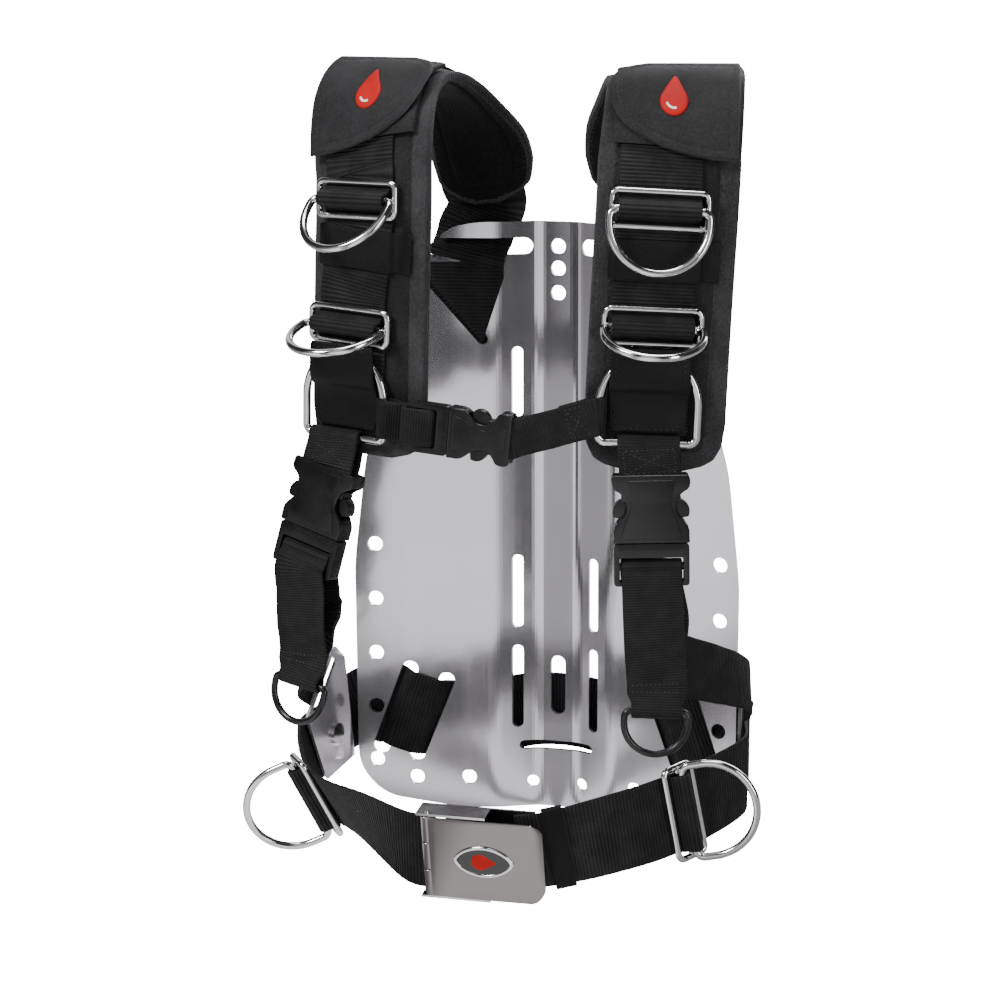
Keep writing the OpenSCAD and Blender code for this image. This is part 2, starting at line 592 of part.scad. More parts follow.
module hip_bracket(s) {
    f = hip_frame(s);
    back = f[0] - f[2] * (web_t / 2 + bracket_gap + 2);
    color(STEEL) placed() in_frame([back, f[1], f[2], f[3]]) difference() {
        hip_plate();
        rotate([90, 0, 0]) cylinder(r = 3.2, h = 9, center = true);
    }
}

module bracket_rivets() {
    color(STEEL) placed() for (s = SIDES) {
        f = hip_frame(s);
        in_frame([f[0] - f[2] * (web_t / 2 + bracket_gap + 2), f[1], f[2], f[3]]) rotate([90, 0, 0]) {
            translate([0, 0, -2.1]) cylinder(r = 7, h = 2);
            translate([0, 0, -1]) cylinder(r = 3, h = 2.6 + bracket_gap);
        }
    }
}

module standing_strap(s) {
    h = hip_frame(s);
    end = h[0] + h[1] * 6 + h[3] * 41 - h[2] * (bracket_gap - 0.4);
    strap_dir = unit(h[1] * 0.62 + h[3] * 0.79);
    slot_dir = unit(h[1] * 0.79 - h[3] * 0.62);
    top = off(ladder_frame(s), 0, -6.9, 4);
    across = ladder_frame(s)[1];
    last_across = slot_dir * -sign_of(s);
    route = [concat(top, across), concat(off(ladder_frame(s), 0, -7.6, -8), across),
        concat(off(ladder_frame(s), 0, -10, -20), across),
        concat(mix(top, end, 0.5) + [sign_of(s) * 3, 3, -6], unit(across + last_across)),
        concat(end + strap_dir * 26, last_across), concat(end, last_across)];
    color(BLACK) placed() strip([for (k = [0 : 0.25 : 5]) on_route(route, k)], [strap_w - 1], web_t);
}

// Waist D-rings: a wire slide round the belt and a ring whose bar lies across it
function waist_ring_frame(s, lift) = let (f = belt_frame(s, WAIST_RING_AT[s], lift))
    [f[0], -sign_of(s) * f[1], f[2], sign_of(s) * f[3]];

module waist_slide(s) {
    color(STEEL) placed() in_frame(waist_ring_frame(s, web_t / 2 + 0.5 + slide_r))
        wire_slide(slide_half_w, slide_half_h, slide_r);
}

module waist_d_ring(s) {
    color(STEEL) placed() in_frame(waist_ring_frame(s, web_t / 2 + 0.6 + 2 * slide_r + ring_r))
        d_ring(waist_leg, WAIST_TILT[s]);
}

// ---- waist buckle, with X across the body and Z up the belt ----

buckle_half_w = 36;
buckle_half_h = 29;
hinge_x = -30;
function buckle_frame() = frame_at(buckle_at, buckle_up, [1, 0, 0]);

module waist_frame() {
    color(STEEL) placed() in_frame(buckle_frame()) difference() {
        union() {
            translate([-buckle_half_w, 3, -buckle_half_h]) cube([2 * buckle_half_w, 1.6, 2 * buckle_half_h]);
            for (m = [-1, 1])
                translate([-buckle_half_w, -10, m * (buckle_half_h - 0.8) - 0.8]) cube([44, 14, 1.6]);
        }
        translate([hinge_x, -7, 0]) cylinder(r = 2.05, h = 100, center = true);
        translate([-26, 0, 0]) cube([9, 20, web_w + 1.5], center = true);
    }
}

module waist_pin() {
    color(STEEL) placed() in_frame(buckle_frame()) translate([hinge_x, -7, 0])
        cylinder(r = 2, h = 2 * buckle_half_h + 1.6, center = true);
}

module waist_lever() {
    color(STEEL) placed() in_frame(buckle_frame()) {
        difference() {
            translate([hinge_x, -7, 0]) cylinder(r = 4, h = 2 * buckle_half_h - 4, center = true);
            translate([hinge_x, -7, 0]) cylinder(r = 2.05, h = 100, center = true);
        }
        translate([hinge_x, 0, 0]) rotate([90, 0, 0]) translate([0, 0, 9.4]) linear_extrude(1.6)
            polygon(concat([[0, -27], [0, 27]], soft_corner([0, 27], [73, 27], [73, 0], 9),
                soft_corner([73, 0], [73, -27], [0, -27], 9)));
    }
}

module waist_badge() {
    color(RED) placed() in_frame(buckle_frame()) translate([6, -11.2, 0]) rotate([90, 0, 0])
        intersection_for(m = [-1, 1]) translate([0, m * 14, 0]) cylinder(r = 22, h = 1);
}

module belt_keeper() {
    f = belt_frame(RIGHT, 7.85, 0);
    color(BLACK) placed() in_frame([f[0], -f[3], f[2], f[1]]) difference() {
        cube([13, web_t + 4.6, web_w + 4.6], center = true);
        cube([14, web_t + 1.6, web_w + 1.2], center = true);
    }
}

// ---- chest strap ----

sternum_w = 16.5;
sternum_l = 40;
sternum_t = 12;
sternum_ladder = 24;
// Frames whose Z points along the strap: female to the right, male to the left
function sternum_frame(x) = let (f = frame_at(sternum_at, -sternum_axis, sternum_up)) moved(f, 0, 0, -x);

module sternum_female() {
    color(PLASTIC) placed() in_frame(sternum_frame(12))
        mirror([0, 0, 1]) female_shell(sternum_w, sternum_l, sternum_t);
}

module sternum_male() {
    color(PLASTIC) placed() in_frame(sternum_frame(12 - sternum_l / 2 - 0.5)) mirror([0, 0, 1])
        male_body(sternum_w, sternum_ladder, sternum_t);
}

module sternum_prong(m) {
    color(PLASTIC) placed() in_frame(sternum_frame(12 - sternum_l / 2 - 0.5)) mirror([0, 0, 1])
        mirror([m < 0 ? 1 : 0, 0, 0]) male_prong(sternum_w, sternum_l, sternum_t);
}

// Where the chest strap holds each ring, and where it meets the buckle
function ring_hold(s) = let (f = web_frame(s, RING_AT[s], ring_lift))
    moved(f, -sign_of(s) * ring_half_w, 0, -8);
function sternum_end(s) = let (
    f = s == LEFT ? sternum_frame(12 - sternum_l / 2 - 0.5 - sternum_ladder / 2 - 1.5)
    : sternum_frame(12 + sternum_l / 2 - 2)) f;

module sternum_strap(s) {
    hold = ring_hold(s);
    end = sternum_end(s);
    start = off(hold, -sign_of(s) * (ring_r + 1.2), 1.2, 0);
    stop = off(end, 0, s == LEFT ? sternum_t / 2 - 2 + web_t / 2 + 0.3 : 0, s == LEFT ? 0 : -3.6);
    across = [0, 0, 1];
    lean = hold[3][2] > 0 ? 1 : -1;
    mid = mix(start, stop, 0.5) + [0, -3, 0];
    near = off(end, 0, s == LEFT ? sternum_t / 2 - 2 + web_t / 2 + 0.6 : 0, s == LEFT ? 15 : -8);
    route = [concat(start, across), concat(mid, across), concat(near, sternum_up), concat(stop, sternum_up)];
    color(BLACK) placed() {
        in_frame([hold[0], hold[3], hold[2], hold[1]]) web_loop(ring_r + 0.3, chest_w - 3);
        if (s == RIGHT) in_frame(end) web_loop(2.2, chest_w - 2);
        strip([for (k = [0 : 0.25 : 3])
            let (f = on_route(route, k), a = unit(mix(hold[3] * lean, sternum_up, k / 3)))
            [f[0], a, unit(cross(a, f[3])), f[3]]], [chest_w - 1], web_t);
    }
}

// ---- slides that stop the webbing behind the plate ----

module back_slides() {
    color(STEEL) placed() for (s = SIDES) on_wing(s) {
        translate([64 - ridge_x, sheet + 0.4 + web_t + 0.6 + 1, 300]) stop_plate(0);
        translate([60 - ridge_x, sheet + 0.4 + web_t + 1.2 + 1, 54.5]) stop_plate(90);
    }
}

module stop_plate(turn) {
    rotate([90, turn, 0]) translate([0, 0, -1]) linear_extrude(2) difference() {
        square([62, 30], center = true);
        for (m = [-1, 1]) translate([0, m * 7.5]) square([52, 6], center = true);
    }
}

// ---- the assembly ----

backplate();
back_slides();
bracket_rivets();
belt_keeper();
waist_frame();
waist_lever();
waist_pin();
waist_badge();
sternum_female();
sternum_male();
sternum_prong(-1);  // sternum_prong_upper
sternum_prong(1);  // sternum_prong_lower
for (s = SIDES) {
    shoulder_pad(s);
    shoulder_webbing(s);
    pad_sleeve(s);
    pad_flap(s);
    flap_badge(s);
    strap_slides(s);
    shoulder_ring(s, UPPER_AT[s], UPPER_TILT[s]);
    shoulder_ring(s, LOWER_AT[s], LOWER_TILT[s]);
    chest_ring(s);
    ring_shield(s);
    chest_tab(s);
    buckle_female(s);
    buckle_male(s);
    buckle_prong(s, -sign_of(s));
    buckle_prong(s, sign_of(s));
    free_end(s);
    pull_ring(s);
    standing_strap(s);
    hip_bracket(s);
    waist_slide(s);
    waist_d_ring(s);
    waist_belt(s);
    sternum_strap(s);
}
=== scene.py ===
import math
import bpy
import bmesh
import numpy as np
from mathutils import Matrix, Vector, noise


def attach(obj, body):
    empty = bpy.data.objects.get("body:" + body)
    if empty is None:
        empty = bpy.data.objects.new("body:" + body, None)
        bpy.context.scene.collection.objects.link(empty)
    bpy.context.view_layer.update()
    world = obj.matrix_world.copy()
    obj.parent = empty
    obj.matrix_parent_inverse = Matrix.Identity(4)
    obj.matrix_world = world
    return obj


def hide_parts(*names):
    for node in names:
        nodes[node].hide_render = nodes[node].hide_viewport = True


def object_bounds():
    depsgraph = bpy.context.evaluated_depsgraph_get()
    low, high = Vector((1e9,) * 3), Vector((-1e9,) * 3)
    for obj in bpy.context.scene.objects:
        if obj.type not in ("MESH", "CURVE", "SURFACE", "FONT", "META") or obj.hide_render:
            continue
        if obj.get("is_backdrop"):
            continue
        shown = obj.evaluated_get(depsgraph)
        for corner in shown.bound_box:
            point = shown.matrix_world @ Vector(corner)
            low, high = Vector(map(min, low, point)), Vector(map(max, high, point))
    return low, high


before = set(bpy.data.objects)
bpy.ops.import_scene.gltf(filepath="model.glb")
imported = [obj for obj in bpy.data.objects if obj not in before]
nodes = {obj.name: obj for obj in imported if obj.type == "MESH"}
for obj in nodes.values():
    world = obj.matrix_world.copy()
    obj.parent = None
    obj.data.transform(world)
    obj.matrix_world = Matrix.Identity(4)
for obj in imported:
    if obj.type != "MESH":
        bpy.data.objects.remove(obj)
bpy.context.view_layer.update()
scene = bpy.context.scene

# Working units: millimetres from the plate's lower edge; ORIGIN is the middle tank bolt hole
ORIGIN = np.array([0, 16.5, 363.5])
LEFT, RIGHT = 0, 1
NAMES = ["left", "right"]
SIGN = [-1, 1]
PAD_T, PAD_W = 9, 86
WEB_W, WEB_T = 50, 2.2
THREADED_W = 54
RING_R, SLIDE_R = 2.5, 2.1
WEB_LIFT = WEB_T / 2 + 0.3
WIRE_LIFT = WEB_LIFT + WEB_T / 2 + 0.1 + SLIDE_R
BAR_LIFT = WIRE_LIFT + SLIDE_R + RING_R + 0.1
ROLL_R = RING_R + WEB_T / 2 + 0.25
RING_LIFT = WEB_LIFT + WEB_T / 2 + 0.6 + RING_R
BAND_LIFT = WEB_LIFT + WEB_T / 2 + 1.5
FLAP_LIFT = PAD_T / 2 + BAND_LIFT + 2.3
CHEST_LEG = 24
STRAP_W, CHEST_STRAP_W, TAB_W = 37, 23.4, 38
RIB, FINE_RIB, RIB_H = 2.3, 1.6, 0.17
HEM_W, HEM_L = 30.6, 36
WAIST_BAR_LIFT = 8.4
BINDING_W, BINDING_BACK_W = 11.8, 3.2
FLAP_W, SEAM_IN = 80, 5.2
BASE_HALF_W, BASE_SHIFT, BASE_TOP, BASE_FOOT = 38.5, 4, 9.15, 4.0
BASE_RUN, BASE_SQUARE = (4.02, 6.2), 0.34
SLEEVE_AT, SLEEVE_W, SLEEVE_END = 2.48, 25, 33
WING_WEB_FRONT, WING_WEB_BACK = (-2.7, -0.5), (3.4, 5.6)
# Half width, length and thickness of the buckles' female halves, and the male halves' lengths
SIDE_BUCKLE, SIDE_MALE = (24, 42, 14), 26
CHEST_BUCKLE, CHEST_MALE = (16.5, 40, 12), 24
PIN_R, KNUCKLE_R = 2.06, 4
LID_HALF_H, LID_CORNER = 27.0, 9

# A route's places are x, y, z and the direction across the strap
SHOULDER_X = [[-84, -83.5, -82, -80, -82, -84, -81, -70, -57, -49, -47],
              [98, 99.5, 102.5, 106, 106, 103, 97, 84, 69, 58, 53]]
SHOULDER_YZ = [(-120, 262), (-120, 300), (-120, 360), (-120, 421), (-113, 455), (-94, 482), (-69, 493),
               (-42, 490), (-17, 473), (0, 445), (8, 412)]
SHOULDER_ACROSS = [(0.95, 0.31)] * 6 + [(0.93, 0.37), (0.87, 0.5), (0.87, 0.5), (0.97, 0.15), (0.98, -0.17)]
SHOULDER = [[[x, y, z, a, SIGN[s] * b, 0]
             for x, (y, z), (a, b) in zip(SHOULDER_X[s], SHOULDER_YZ, SHOULDER_ACROSS)] for s in (LEFT, RIGHT)]
WEB_SHIFT = [[-12, -6], [-5, -5]]
UPPER_AT, LOWER_AT, RING_AT = [3, 3], [1.72, 1.85], [0.93, 1.07]
# Route places with the share of the pad's full width there, and with the share cut off the flap's width
PAD_PLAN = [[-0.02, 0.42], [0.08, 0.66], [0.25, 0.85], [0.5, 0.96], [0.8, 1], [3.8, 1], [4.6, 0.97],
            [6.6, 0.92], [7.8, 0.86], [8.8, 0.84], [9.3, 0.8], [9.7, 0.7], [9.95, 0.54], [10.1, 0.38],
            [10.2, 0.2]]
FLAP = [[3.8, 0.8], [3.87, 0.6], [4, 0.38], [4.25, 0.16], [4.5, 0.06], [4.75, 0.02], [5, 0], [5.25, 0.02],
        [5.5, 0.06], [5.75, 0.14], [6, 0.3]]
TAB_TOP = [[-101, -128, 274], [98.5, -129, 281]]
TAB_DOWN = [[-0.24, -0.08, -0.967], [0.03, -0.05, -0.998]]
FEMALE_DROP = 41
FREE_END = [
    [[-121, -144.5, 186], [-117, -145.5, 170], [-117, -147, 149], [-121, -149, 124]],
    [[104, -143.5, 187], [107.5, -144.5, 171], [109, -146, 149], [108.5, -148, 121]]]
BELT = [
    [[-19, -190.5, 29, 0, -0.19, 0.98], [-38, -188.5, 30, 0, -0.19, 0.98], [-66, -171, 35, -0.15, -0.3, 0.94],
     [-99, -142, 37, -0.36, -0.4, 0.84], [-126, -112, 40, -0.3, -0.3, 0.9], [-147, -78, 47.5, -0.08, -0.05, 1],
     [-142.5, -50, 54, 0, 0, 1], [-137.5, -21, 61, 0, 0, 1], [-131, -13.5, 66, 0.1, 0, 1],
     [-122, -12.5, 69, 0.3, 0.07, 0.95]],
    [[122, -12.5, 71, -0.3, 0.07, 0.95], [131, -13.5, 69, -0.1, 0, 1], [137.5, -21, 66, 0, 0, 1],
     [142.5, -50, 62, 0, 0, 1], [147, -78, 59, 0, 0, 1], [132, -116, 54, -0.04, 0.05, 1],
     [110, -148, 48, -0.08, 0.08, 0.99], [82, -175, 43, -0.05, 0, 1], [54, -188.5, 37, 0, -0.15, 0.98],
     [35, -190.5, 34, 0, -0.19, 0.98]]]
THREAD = [[112, -5], [108.3, -4.6], [104.5, -1.5], [100.7, 1.5], [97, 1.9], [89, 1.9], [85, 1.5],
          [81.2, -1.5], [77.4, -4.6], [73, -5], [62, -5], [50, -5]]
# The belt rises outwards through the lower slots, past the bar between them
SLOT_X, SLOT_Z, SLOT_SLOPE = 92.8, 65.5, 0.34
HIP_AT, WAIST_RING_AT, KEEPER_AT = [6.25, 2.75], [3.75, 5.55], 7.85
BRACKET_GAP = 1.6
STERNUM_AT = np.array([-13, -153, 284.5])
STERNUM_AXIS = np.array([0.996, 0, -0.092])
STERNUM_UP = np.array([0.092, 0, 0.996])
WING_A = math.radians(13)
RIDGE_X = 39.5


# ---- frames, as in the solid model ----

def unit(v):
    v = np.asarray(v, float)
    return v / np.linalg.norm(v)


def catmull(a, b, c, d, t):
    return 0.5 * (2 * b + (c - a) * t + (2 * a - 5 * b + 4 * c - d) * t * t + (3 * b - a - 3 * c + d) * t ** 3)


def lengths(points):
    """The distance from the first point to each one, along the line through them all."""
    return np.r_[0, np.cumsum(np.linalg.norm(np.diff(points, axis=0), axis=1))]


def along(route, s):
    r = np.asarray(route, float)
    last = len(r) - 1
    i = max(0, min(last - 1, math.floor(s)))
    if s < 0 or s > last:
        return r[i] + (r[i + 1] - r[i]) * (s - i)
    return catmull(r[max(i - 1, 0)], r[i], r[i + 1], r[min(i + 2, last)], s - i)


def on_route(route, s, lift=0.0, shift=0.0):
    v = along(route, s)
    t = unit(along(route, s + 0.04)[:3] - along(route, s - 0.04)[:3])
    a = unit(v[3:] - t * (v[3:] @ t))
    n = np.cross(a, t)
    return [v[:3] + n * lift + a * shift, a, n, t]


def off(f, across, out, up):
    return f[0] + f[1] * across + f[2] * out + f[3] * up


def moved(f, across, out, up):
    return [off(f, across, out, up), f[1], f[2], f[3]]


def frame_at(c, up, across):
    t = unit(up)
    a = unit(np.asarray(across, float) - t * (np.asarray(across, float) @ t))
    return [np.asarray(c, float), a, np.cross(a, t), t]


def web_shift(s, at):
    return WEB_SHIFT[s][0] + (WEB_SHIFT[s][1] - WEB_SHIFT[s][0]) * min(1, max(0, (at - 1) / 2))


def web_frame(s, at, lift):
    return on_route(SHOULDER[s], at, PAD_T / 2 + lift, web_shift(s, at))


def wing_y(x, out):
    return -(x - RIDGE_X) * math.tan(WING_A) - out


def lower_frame(s, drop):
    f = frame_at(TAB_TOP[s], -np.array(TAB_DOWN[s]), [1, 0.31 * SIGN[s], 0])
    return moved(f, 0, 1.5, -drop)


def ladder_frame(s):
    return lower_frame(s, FEMALE_DROP + SIDE_BUCKLE[1] / 2 + 0.5 + SIDE_MALE / 2 + 1.5)


def pull_frame(s):
    e = np.array(FREE_END[s], float)
    return moved(frame_at(e[3], e[2] - e[3], ladder_frame(s)[1]), 0, 0, -4.2)


def sternum_frame(x):
    return moved(frame_at(STERNUM_AT, -STERNUM_AXIS, STERNUM_UP), 0, 0, -x)


def belt_frame(s, at, lift=0.0):
    return on_route(BELT[s], at, lift)


def waist_ring_frame(s):
    f = belt_frame(s, WAIST_RING_AT[s])
    return [f[0], -SIGN[s] * f[1], f[2], SIGN[s] * f[3]]


def hip_frame(s):
    m = SIGN[s]
    f = belt_frame(s, HIP_AT[s])
    x = unit(along(BELT[s], HIP_AT[s] + m)[:3] - along(BELT[s], HIP_AT[s] - m * 0.6)[:3])
    a = unit(f[1] - x * (f[1] @ x))
    return [f[0], x, np.cross(a, x) * m, a]


def buckle_frame():
    return frame_at([8, -190, 31], [0, -0.19, 0.98], [1, 0, 0])


def on_wing(s, x, y, z):
    """A point of a wing's own frame in plate coordinates: x along the wing from the ridge, y into its back."""
    c, k = math.cos(WING_A), math.sin(WING_A)
    return np.array([SIGN[s] * (RIDGE_X + x * c + y * k), -x * k + y * c, z])


# ---- meshes ----

def rng(v, scale=1.0, seed=0.0):
    return noise.noise(Vector((v[0] * scale + seed, v[1] * scale - seed, v[2] * scale + 3.1 * seed)))


def in_scene(name, data):
    obj = bpy.data.objects.new(name, data)
    scene.collection.objects.link(obj)
    return obj


def register(name, mesh, body):
    """Add a piece that moves with a body; it replaces the CAD piece of its own name, if there is one."""
    obj = in_scene(name, mesh)
    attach(obj, body)
    if name in nodes:
        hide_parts(name)
    return obj


def folded(e, degrees):
    """Whether the two faces beside an edge turn by more than an angle."""
    return len(e.link_faces) == 2 and e.calc_face_angle(0) > math.radians(degrees)


def add_mesh(name, verts, faces, mats, index=None, uv=None, body="harness", slot=None, smooth=True,
             flat_angle=None):
    mesh = bpy.data.meshes.new(name)
    co = (np.asarray(verts, float) - ORIGIN) / 1000
    mesh.from_pydata(co.tolist(), [], [list(map(int, f)) for f in faces])
    for m in (mats if isinstance(mats, (list, tuple)) else [mats]):
        mesh.materials.append(m)
    if index is not None:
        mesh.polygons.foreach_set("material_index", np.asarray(index, np.int32))
    mesh.polygons.foreach_set("use_smooth", np.full(len(mesh.polygons), smooth))
    if uv is not None:
        layer = mesh.uv_layers.new(name="UVMap")
        loops = np.zeros(len(mesh.loops), np.int32)
        mesh.loops.foreach_get("vertex_index", loops)
        layer.data.foreach_set("uv", np.asarray(uv, np.float32)[loops].ravel())
    mesh.update()
    bm = bmesh.new()
    bm.from_mesh(mesh)
    bmesh.ops.recalc_face_normals(bm, faces=bm.faces)
    for e in bm.edges:
        if flat_angle and folded(e, flat_angle):
            e.smooth = False
    bm.to_mesh(mesh)
    bm.free()
    return register(name, mesh, body)


def grid_faces(m, n, wrap=False, base=0):
    k = n if wrap else n - 1
    i, j = np.meshgrid(np.arange(m - 1), np.arange(k), indexing="ij")
    a = base + i * n + j
    b = base + i * n + (j + 1) % n
    return np.stack([a, b, b + n, a + n], -1).reshape(-1, 4)


def dense(rows, step):
    """A smooth path through rows of (centre, across) in even steps: places p, across a, normals n, tangents t
    and lengths s."""
    c = np.array([r[0] for r in rows], float)
    a = np.array([r[1] for r in rows], float)
    keep = np.r_[True, np.linalg.norm(np.diff(c, axis=0), axis=1) > 1e-3]
    c, a = c[keep], a[keep]
    d = np.linalg.norm(np.diff(c, axis=0), axis=1)
    v = np.diff(c, axis=0) / d[:, None]
    m = np.vstack([v[:1], (v[1:] * d[:-1, None] + v[:-1] * d[1:, None]) / (d[1:] + d[:-1])[:, None], v[-1:]])
    points, across = [], []
    for i, length in enumerate(d):
        n = max(2, int(math.ceil(length / step * 2)))
        t = (np.arange(n) / n)[:, None]
        h = [2 * t ** 3 - 3 * t ** 2 + 1, t ** 3 - 2 * t ** 2 + t, -2 * t ** 3 + 3 * t ** 2, t ** 3 - t ** 2]
        points.append(h[0] * c[i] + h[1] * length * m[i] + h[2] * c[i + 1] + h[3] * length * m[i + 1])
        across.append(a[i] + (a[i + 1] - a[i]) * (3 * t ** 2 - 2 * t ** 3))
    points = np.vstack(points + [c[-1:]])
    across = np.vstack(across + [a[-1:]])
    s = lengths(points)
    count = max(3, int(round(s[-1] / step)) + 1)
    q = np.linspace(0, s[-1], count)
    p = np.stack([np.interp(q, s, points[:, k]) for k in range(3)], -1)
    x = np.stack([np.interp(q, s, across[:, k]) for k in range(3)], -1)
    t = np.gradient(p, axis=0)
    t /= np.linalg.norm(t, axis=1)[:, None]
    x -= t * (x * t).sum(1)[:, None]
    x /= np.linalg.norm(x, axis=1)[:, None]
    return {"p": p, "a": x, "n": np.cross(x, t), "t": t, "s": q}


def webbing(name, rows, width, mat, thick=WEB_T, pitch=RIB, amp=RIB_H, step=None, slot="webbing", widths=None,
            wave=0.0):
    """A woven strap: a rounded flat section carried along the rows, with ribs across it. Returns its path."""
    step = step or (pitch / 4 if amp else 1.2)
    path = dense(rows, step)
    m = len(path["p"])
    half = np.full(m, width / 2.0) if widths is None else np.interp(path["s"] / path["s"][-1], *widths) / 2
    ux = np.array([-1, -1, -1, -0.5, 0, 0.5, 1, 1, 1, 1, 1, 0.5, 0, -0.5, -1, -1])
    du = np.array([0, 0.25, 1.0, 0, 0, 0, -1.0, -0.25, 0, -0.25, -1.0, 0, 0, 0, 1.0, 0.25])
    hh = np.array([0, 0.36, *[0.5] * 5, 0.36, 0, -0.36, *[-0.5] * 5, -0.36]) * thick
    rib = amp * np.cos(2 * np.pi * path["s"] / pitch) if amp else np.zeros(m)
    flat = (np.abs(hh) > 0.45 * thick) * 1.0
    u = ux[None, :] * half[:, None] + du[None, :]
    h = hh[None, :] + np.sign(hh)[None, :] * flat[None, :] * (rib[:, None] - amp)
    if wave:
        drift = np.array([rng(p, 0.03, 2.0) for p in path["p"]])
        h = h + wave * drift[:, None] * (1 - (2 * np.abs(ux) - 1) ** 2)[None, :]
    v = path["p"][:, None, :] + path["a"][:, None, :] * u[..., None] + path["n"][:, None, :] * h[..., None]
    n = 16
    faces = grid_faces(m, n, True).tolist()
    faces += [list(range(n))[::-1], [(m - 1) * n + k for k in range(n)]]
    uv = np.stack([u, np.repeat(path["s"][:, None], n, 1)], -1).reshape(-1, 2)
    add_mesh(name, v.reshape(-1, 3), faces, mat, uv=uv, slot=slot)
    path["half"], path["thick"] = half, thick
    return path


def strap(name, rows, width, amp=0.09, **more):
    """A narrow strap with fine ribs."""
    return webbing(name, rows, width, STRAP, pitch=FINE_RIB, amp=amp, **more)


def slab(name, front, back, mats, index=None, uv=None, **more):
    """A closed shell from two grids of points that share no vertices; their rims are joined."""
    m, n = front.shape[:2]
    base = m * n
    faces = grid_faces(m, n).tolist() + [f[::-1] for f in grid_faces(m, n, base=base).tolist()]
    rim = [(0, j) for j in range(n)] + [(i, n - 1) for i in range(1, m)] \
        + [(m - 1, j) for j in range(n - 2, -1, -1)] + [(i, 0) for i in range(m - 2, 0, -1)]
    ids = [i * n + j for i, j in rim]
    for k, a in enumerate(ids):
        b = ids[(k + 1) % len(ids)]
        faces.append([a, a + base, b + base, b])
    if index is not None:
        one, two = index
        index = [*np.asarray(one).ravel(), *np.asarray(two).ravel(), *[more.pop("rim_index", 0)] * len(ids)]
    if uv is not None:
        uv = np.vstack([uv.reshape(-1, 2), uv.reshape(-1, 2)])
    verts = np.vstack([front.reshape(-1, 3), back.reshape(-1, 3)])
    return add_mesh(name, verts, faces, mats, index=index, uv=uv, **more)


def arc(c, u, v, r, degrees, across):
    """Rows of a strap that turns round a bar at c, in the plane of u and v."""
    return [[c + (u * math.cos(a) + v * math.sin(a)) * r, across] for a in map(math.radians, degrees)]


def place_on(path, point):
    """The length along a path of its place nearest to a point."""
    return path["s"][int(np.argmin(np.linalg.norm(path["p"] - point, axis=1)))]


def facing(path, at, v):
    """Which face of a path is turned the way v points, at a length along it."""
    return 1 if path["n"][int(np.argmin(abs(path["s"] - at)))] @ v > 0 else -1


def stitches(name, runs, length, gap, wide, high=0.3, zig=0.0, body="harness", slot="webbing"):
    """Short closed threads along each run of (points, normals)."""
    verts, faces = [], []
    for points, normals in runs:
        points, normals = np.asarray(points, float), np.asarray(normals, float)
        s = lengths(points)
        if s[-1] < length:
            continue
        for k, q in enumerate(np.arange(length / 2 + 0.3, s[-1] - length / 2, length + gap)):
            c = np.array([np.interp(q, s, points[:, i]) for i in range(3)])
            e = np.array([np.interp(q + 0.5, s, points[:, i]) for i in range(3)])
            if np.linalg.norm(e - c) < 1e-6:
                continue
            n = unit([np.interp(q, s, normals[:, i]) for i in range(3)])
            t = unit(e - c)
            t = unit(t - n * (t @ n))
            w = np.cross(n, t)
            t = unit(t + w * zig * (1 if k % 2 else -1))
            w = np.cross(n, t)
            b = len(verts)
            verts += [c - t * length / 2, c + w * wide / 2, c + t * length / 2, c - w * wide / 2,
                      c + n * high, c - n * high]
            faces += [[b + i, b + (i + 1) % 4, b + 4] for i in range(4)]
            faces += [[b + (i + 1) % 4, b + i, b + 5] for i in range(4)]
    if verts:
        add_mesh(name, verts, faces, THREAD_GREY, body=body, slot=slot, smooth=False)


def strip_lines(path, lines, side=1):
    """Runs on a strap's face, from lines of (s, u) points in millimetres along and across."""
    runs = []
    for line in lines:
        pts, nrm = [], []
        for (s0, u0), (s1, u1) in zip(line[:-1], line[1:]):
            k = max(2, int(math.hypot(s1 - s0, u1 - u0) / 1.0))
            for i in range(k + 1):
                s, u = s0 + (s1 - s0) * i / k, u0 + (u1 - u0) * i / k
                p, a, n = (np.array([np.interp(s, path["s"], path[key][:, j]) for j in range(3)])
                           for key in "pan")
                n *= side
                pts.append(p + a * u + n * (path["thick"] / 2 - 0.12))
                nrm.append(n)
        runs.append((pts, nrm))
    return runs


def box_lines(s0, s1, w):
    """A sewn box with a cross in it."""
    return [[(s0, -w), (s1, -w), (s1, w), (s0, w), (s0, -w)], [(s0, -w), (s1, w)], [(s0, w), (s1, -w)]]


def place(f, pts):
    """Local X across, Y inward, Z up points to plate coordinates."""
    pts = np.asarray(pts, float)
    return f[0] + pts[:, :1] * f[1] - pts[:, 1:2] * f[2] + pts[:, 2:] * f[3]


def circle(r, n):
    return [[r * math.cos(a), r * math.sin(a)] for a in np.linspace(0, 2 * math.pi, n, endpoint=False)]


def rounded(points, radius, steps=4):
    """An outline with each corner rounded by a radius, one for all or one each."""
    p = [np.asarray(q, float) for q in points]
    n, out = len(p), []
    for i in range(n):
        a, q, b = p[i - 1], p[i], p[(i + 1) % n]
        r = radius[i] if hasattr(radius, "__len__") else radius
        r = min(r, 0.49 * np.linalg.norm(a - q), 0.49 * np.linalg.norm(b - q))
        if r < 0.05:
            out.append(q)
            continue
        u, v = q + unit(a - q) * r, q + unit(b - q) * r
        out += [u * (1 - t) ** 2 + q * 2 * t * (1 - t) + v * t * t for t in np.linspace(0, 1, steps + 1)]
    return np.array(out)


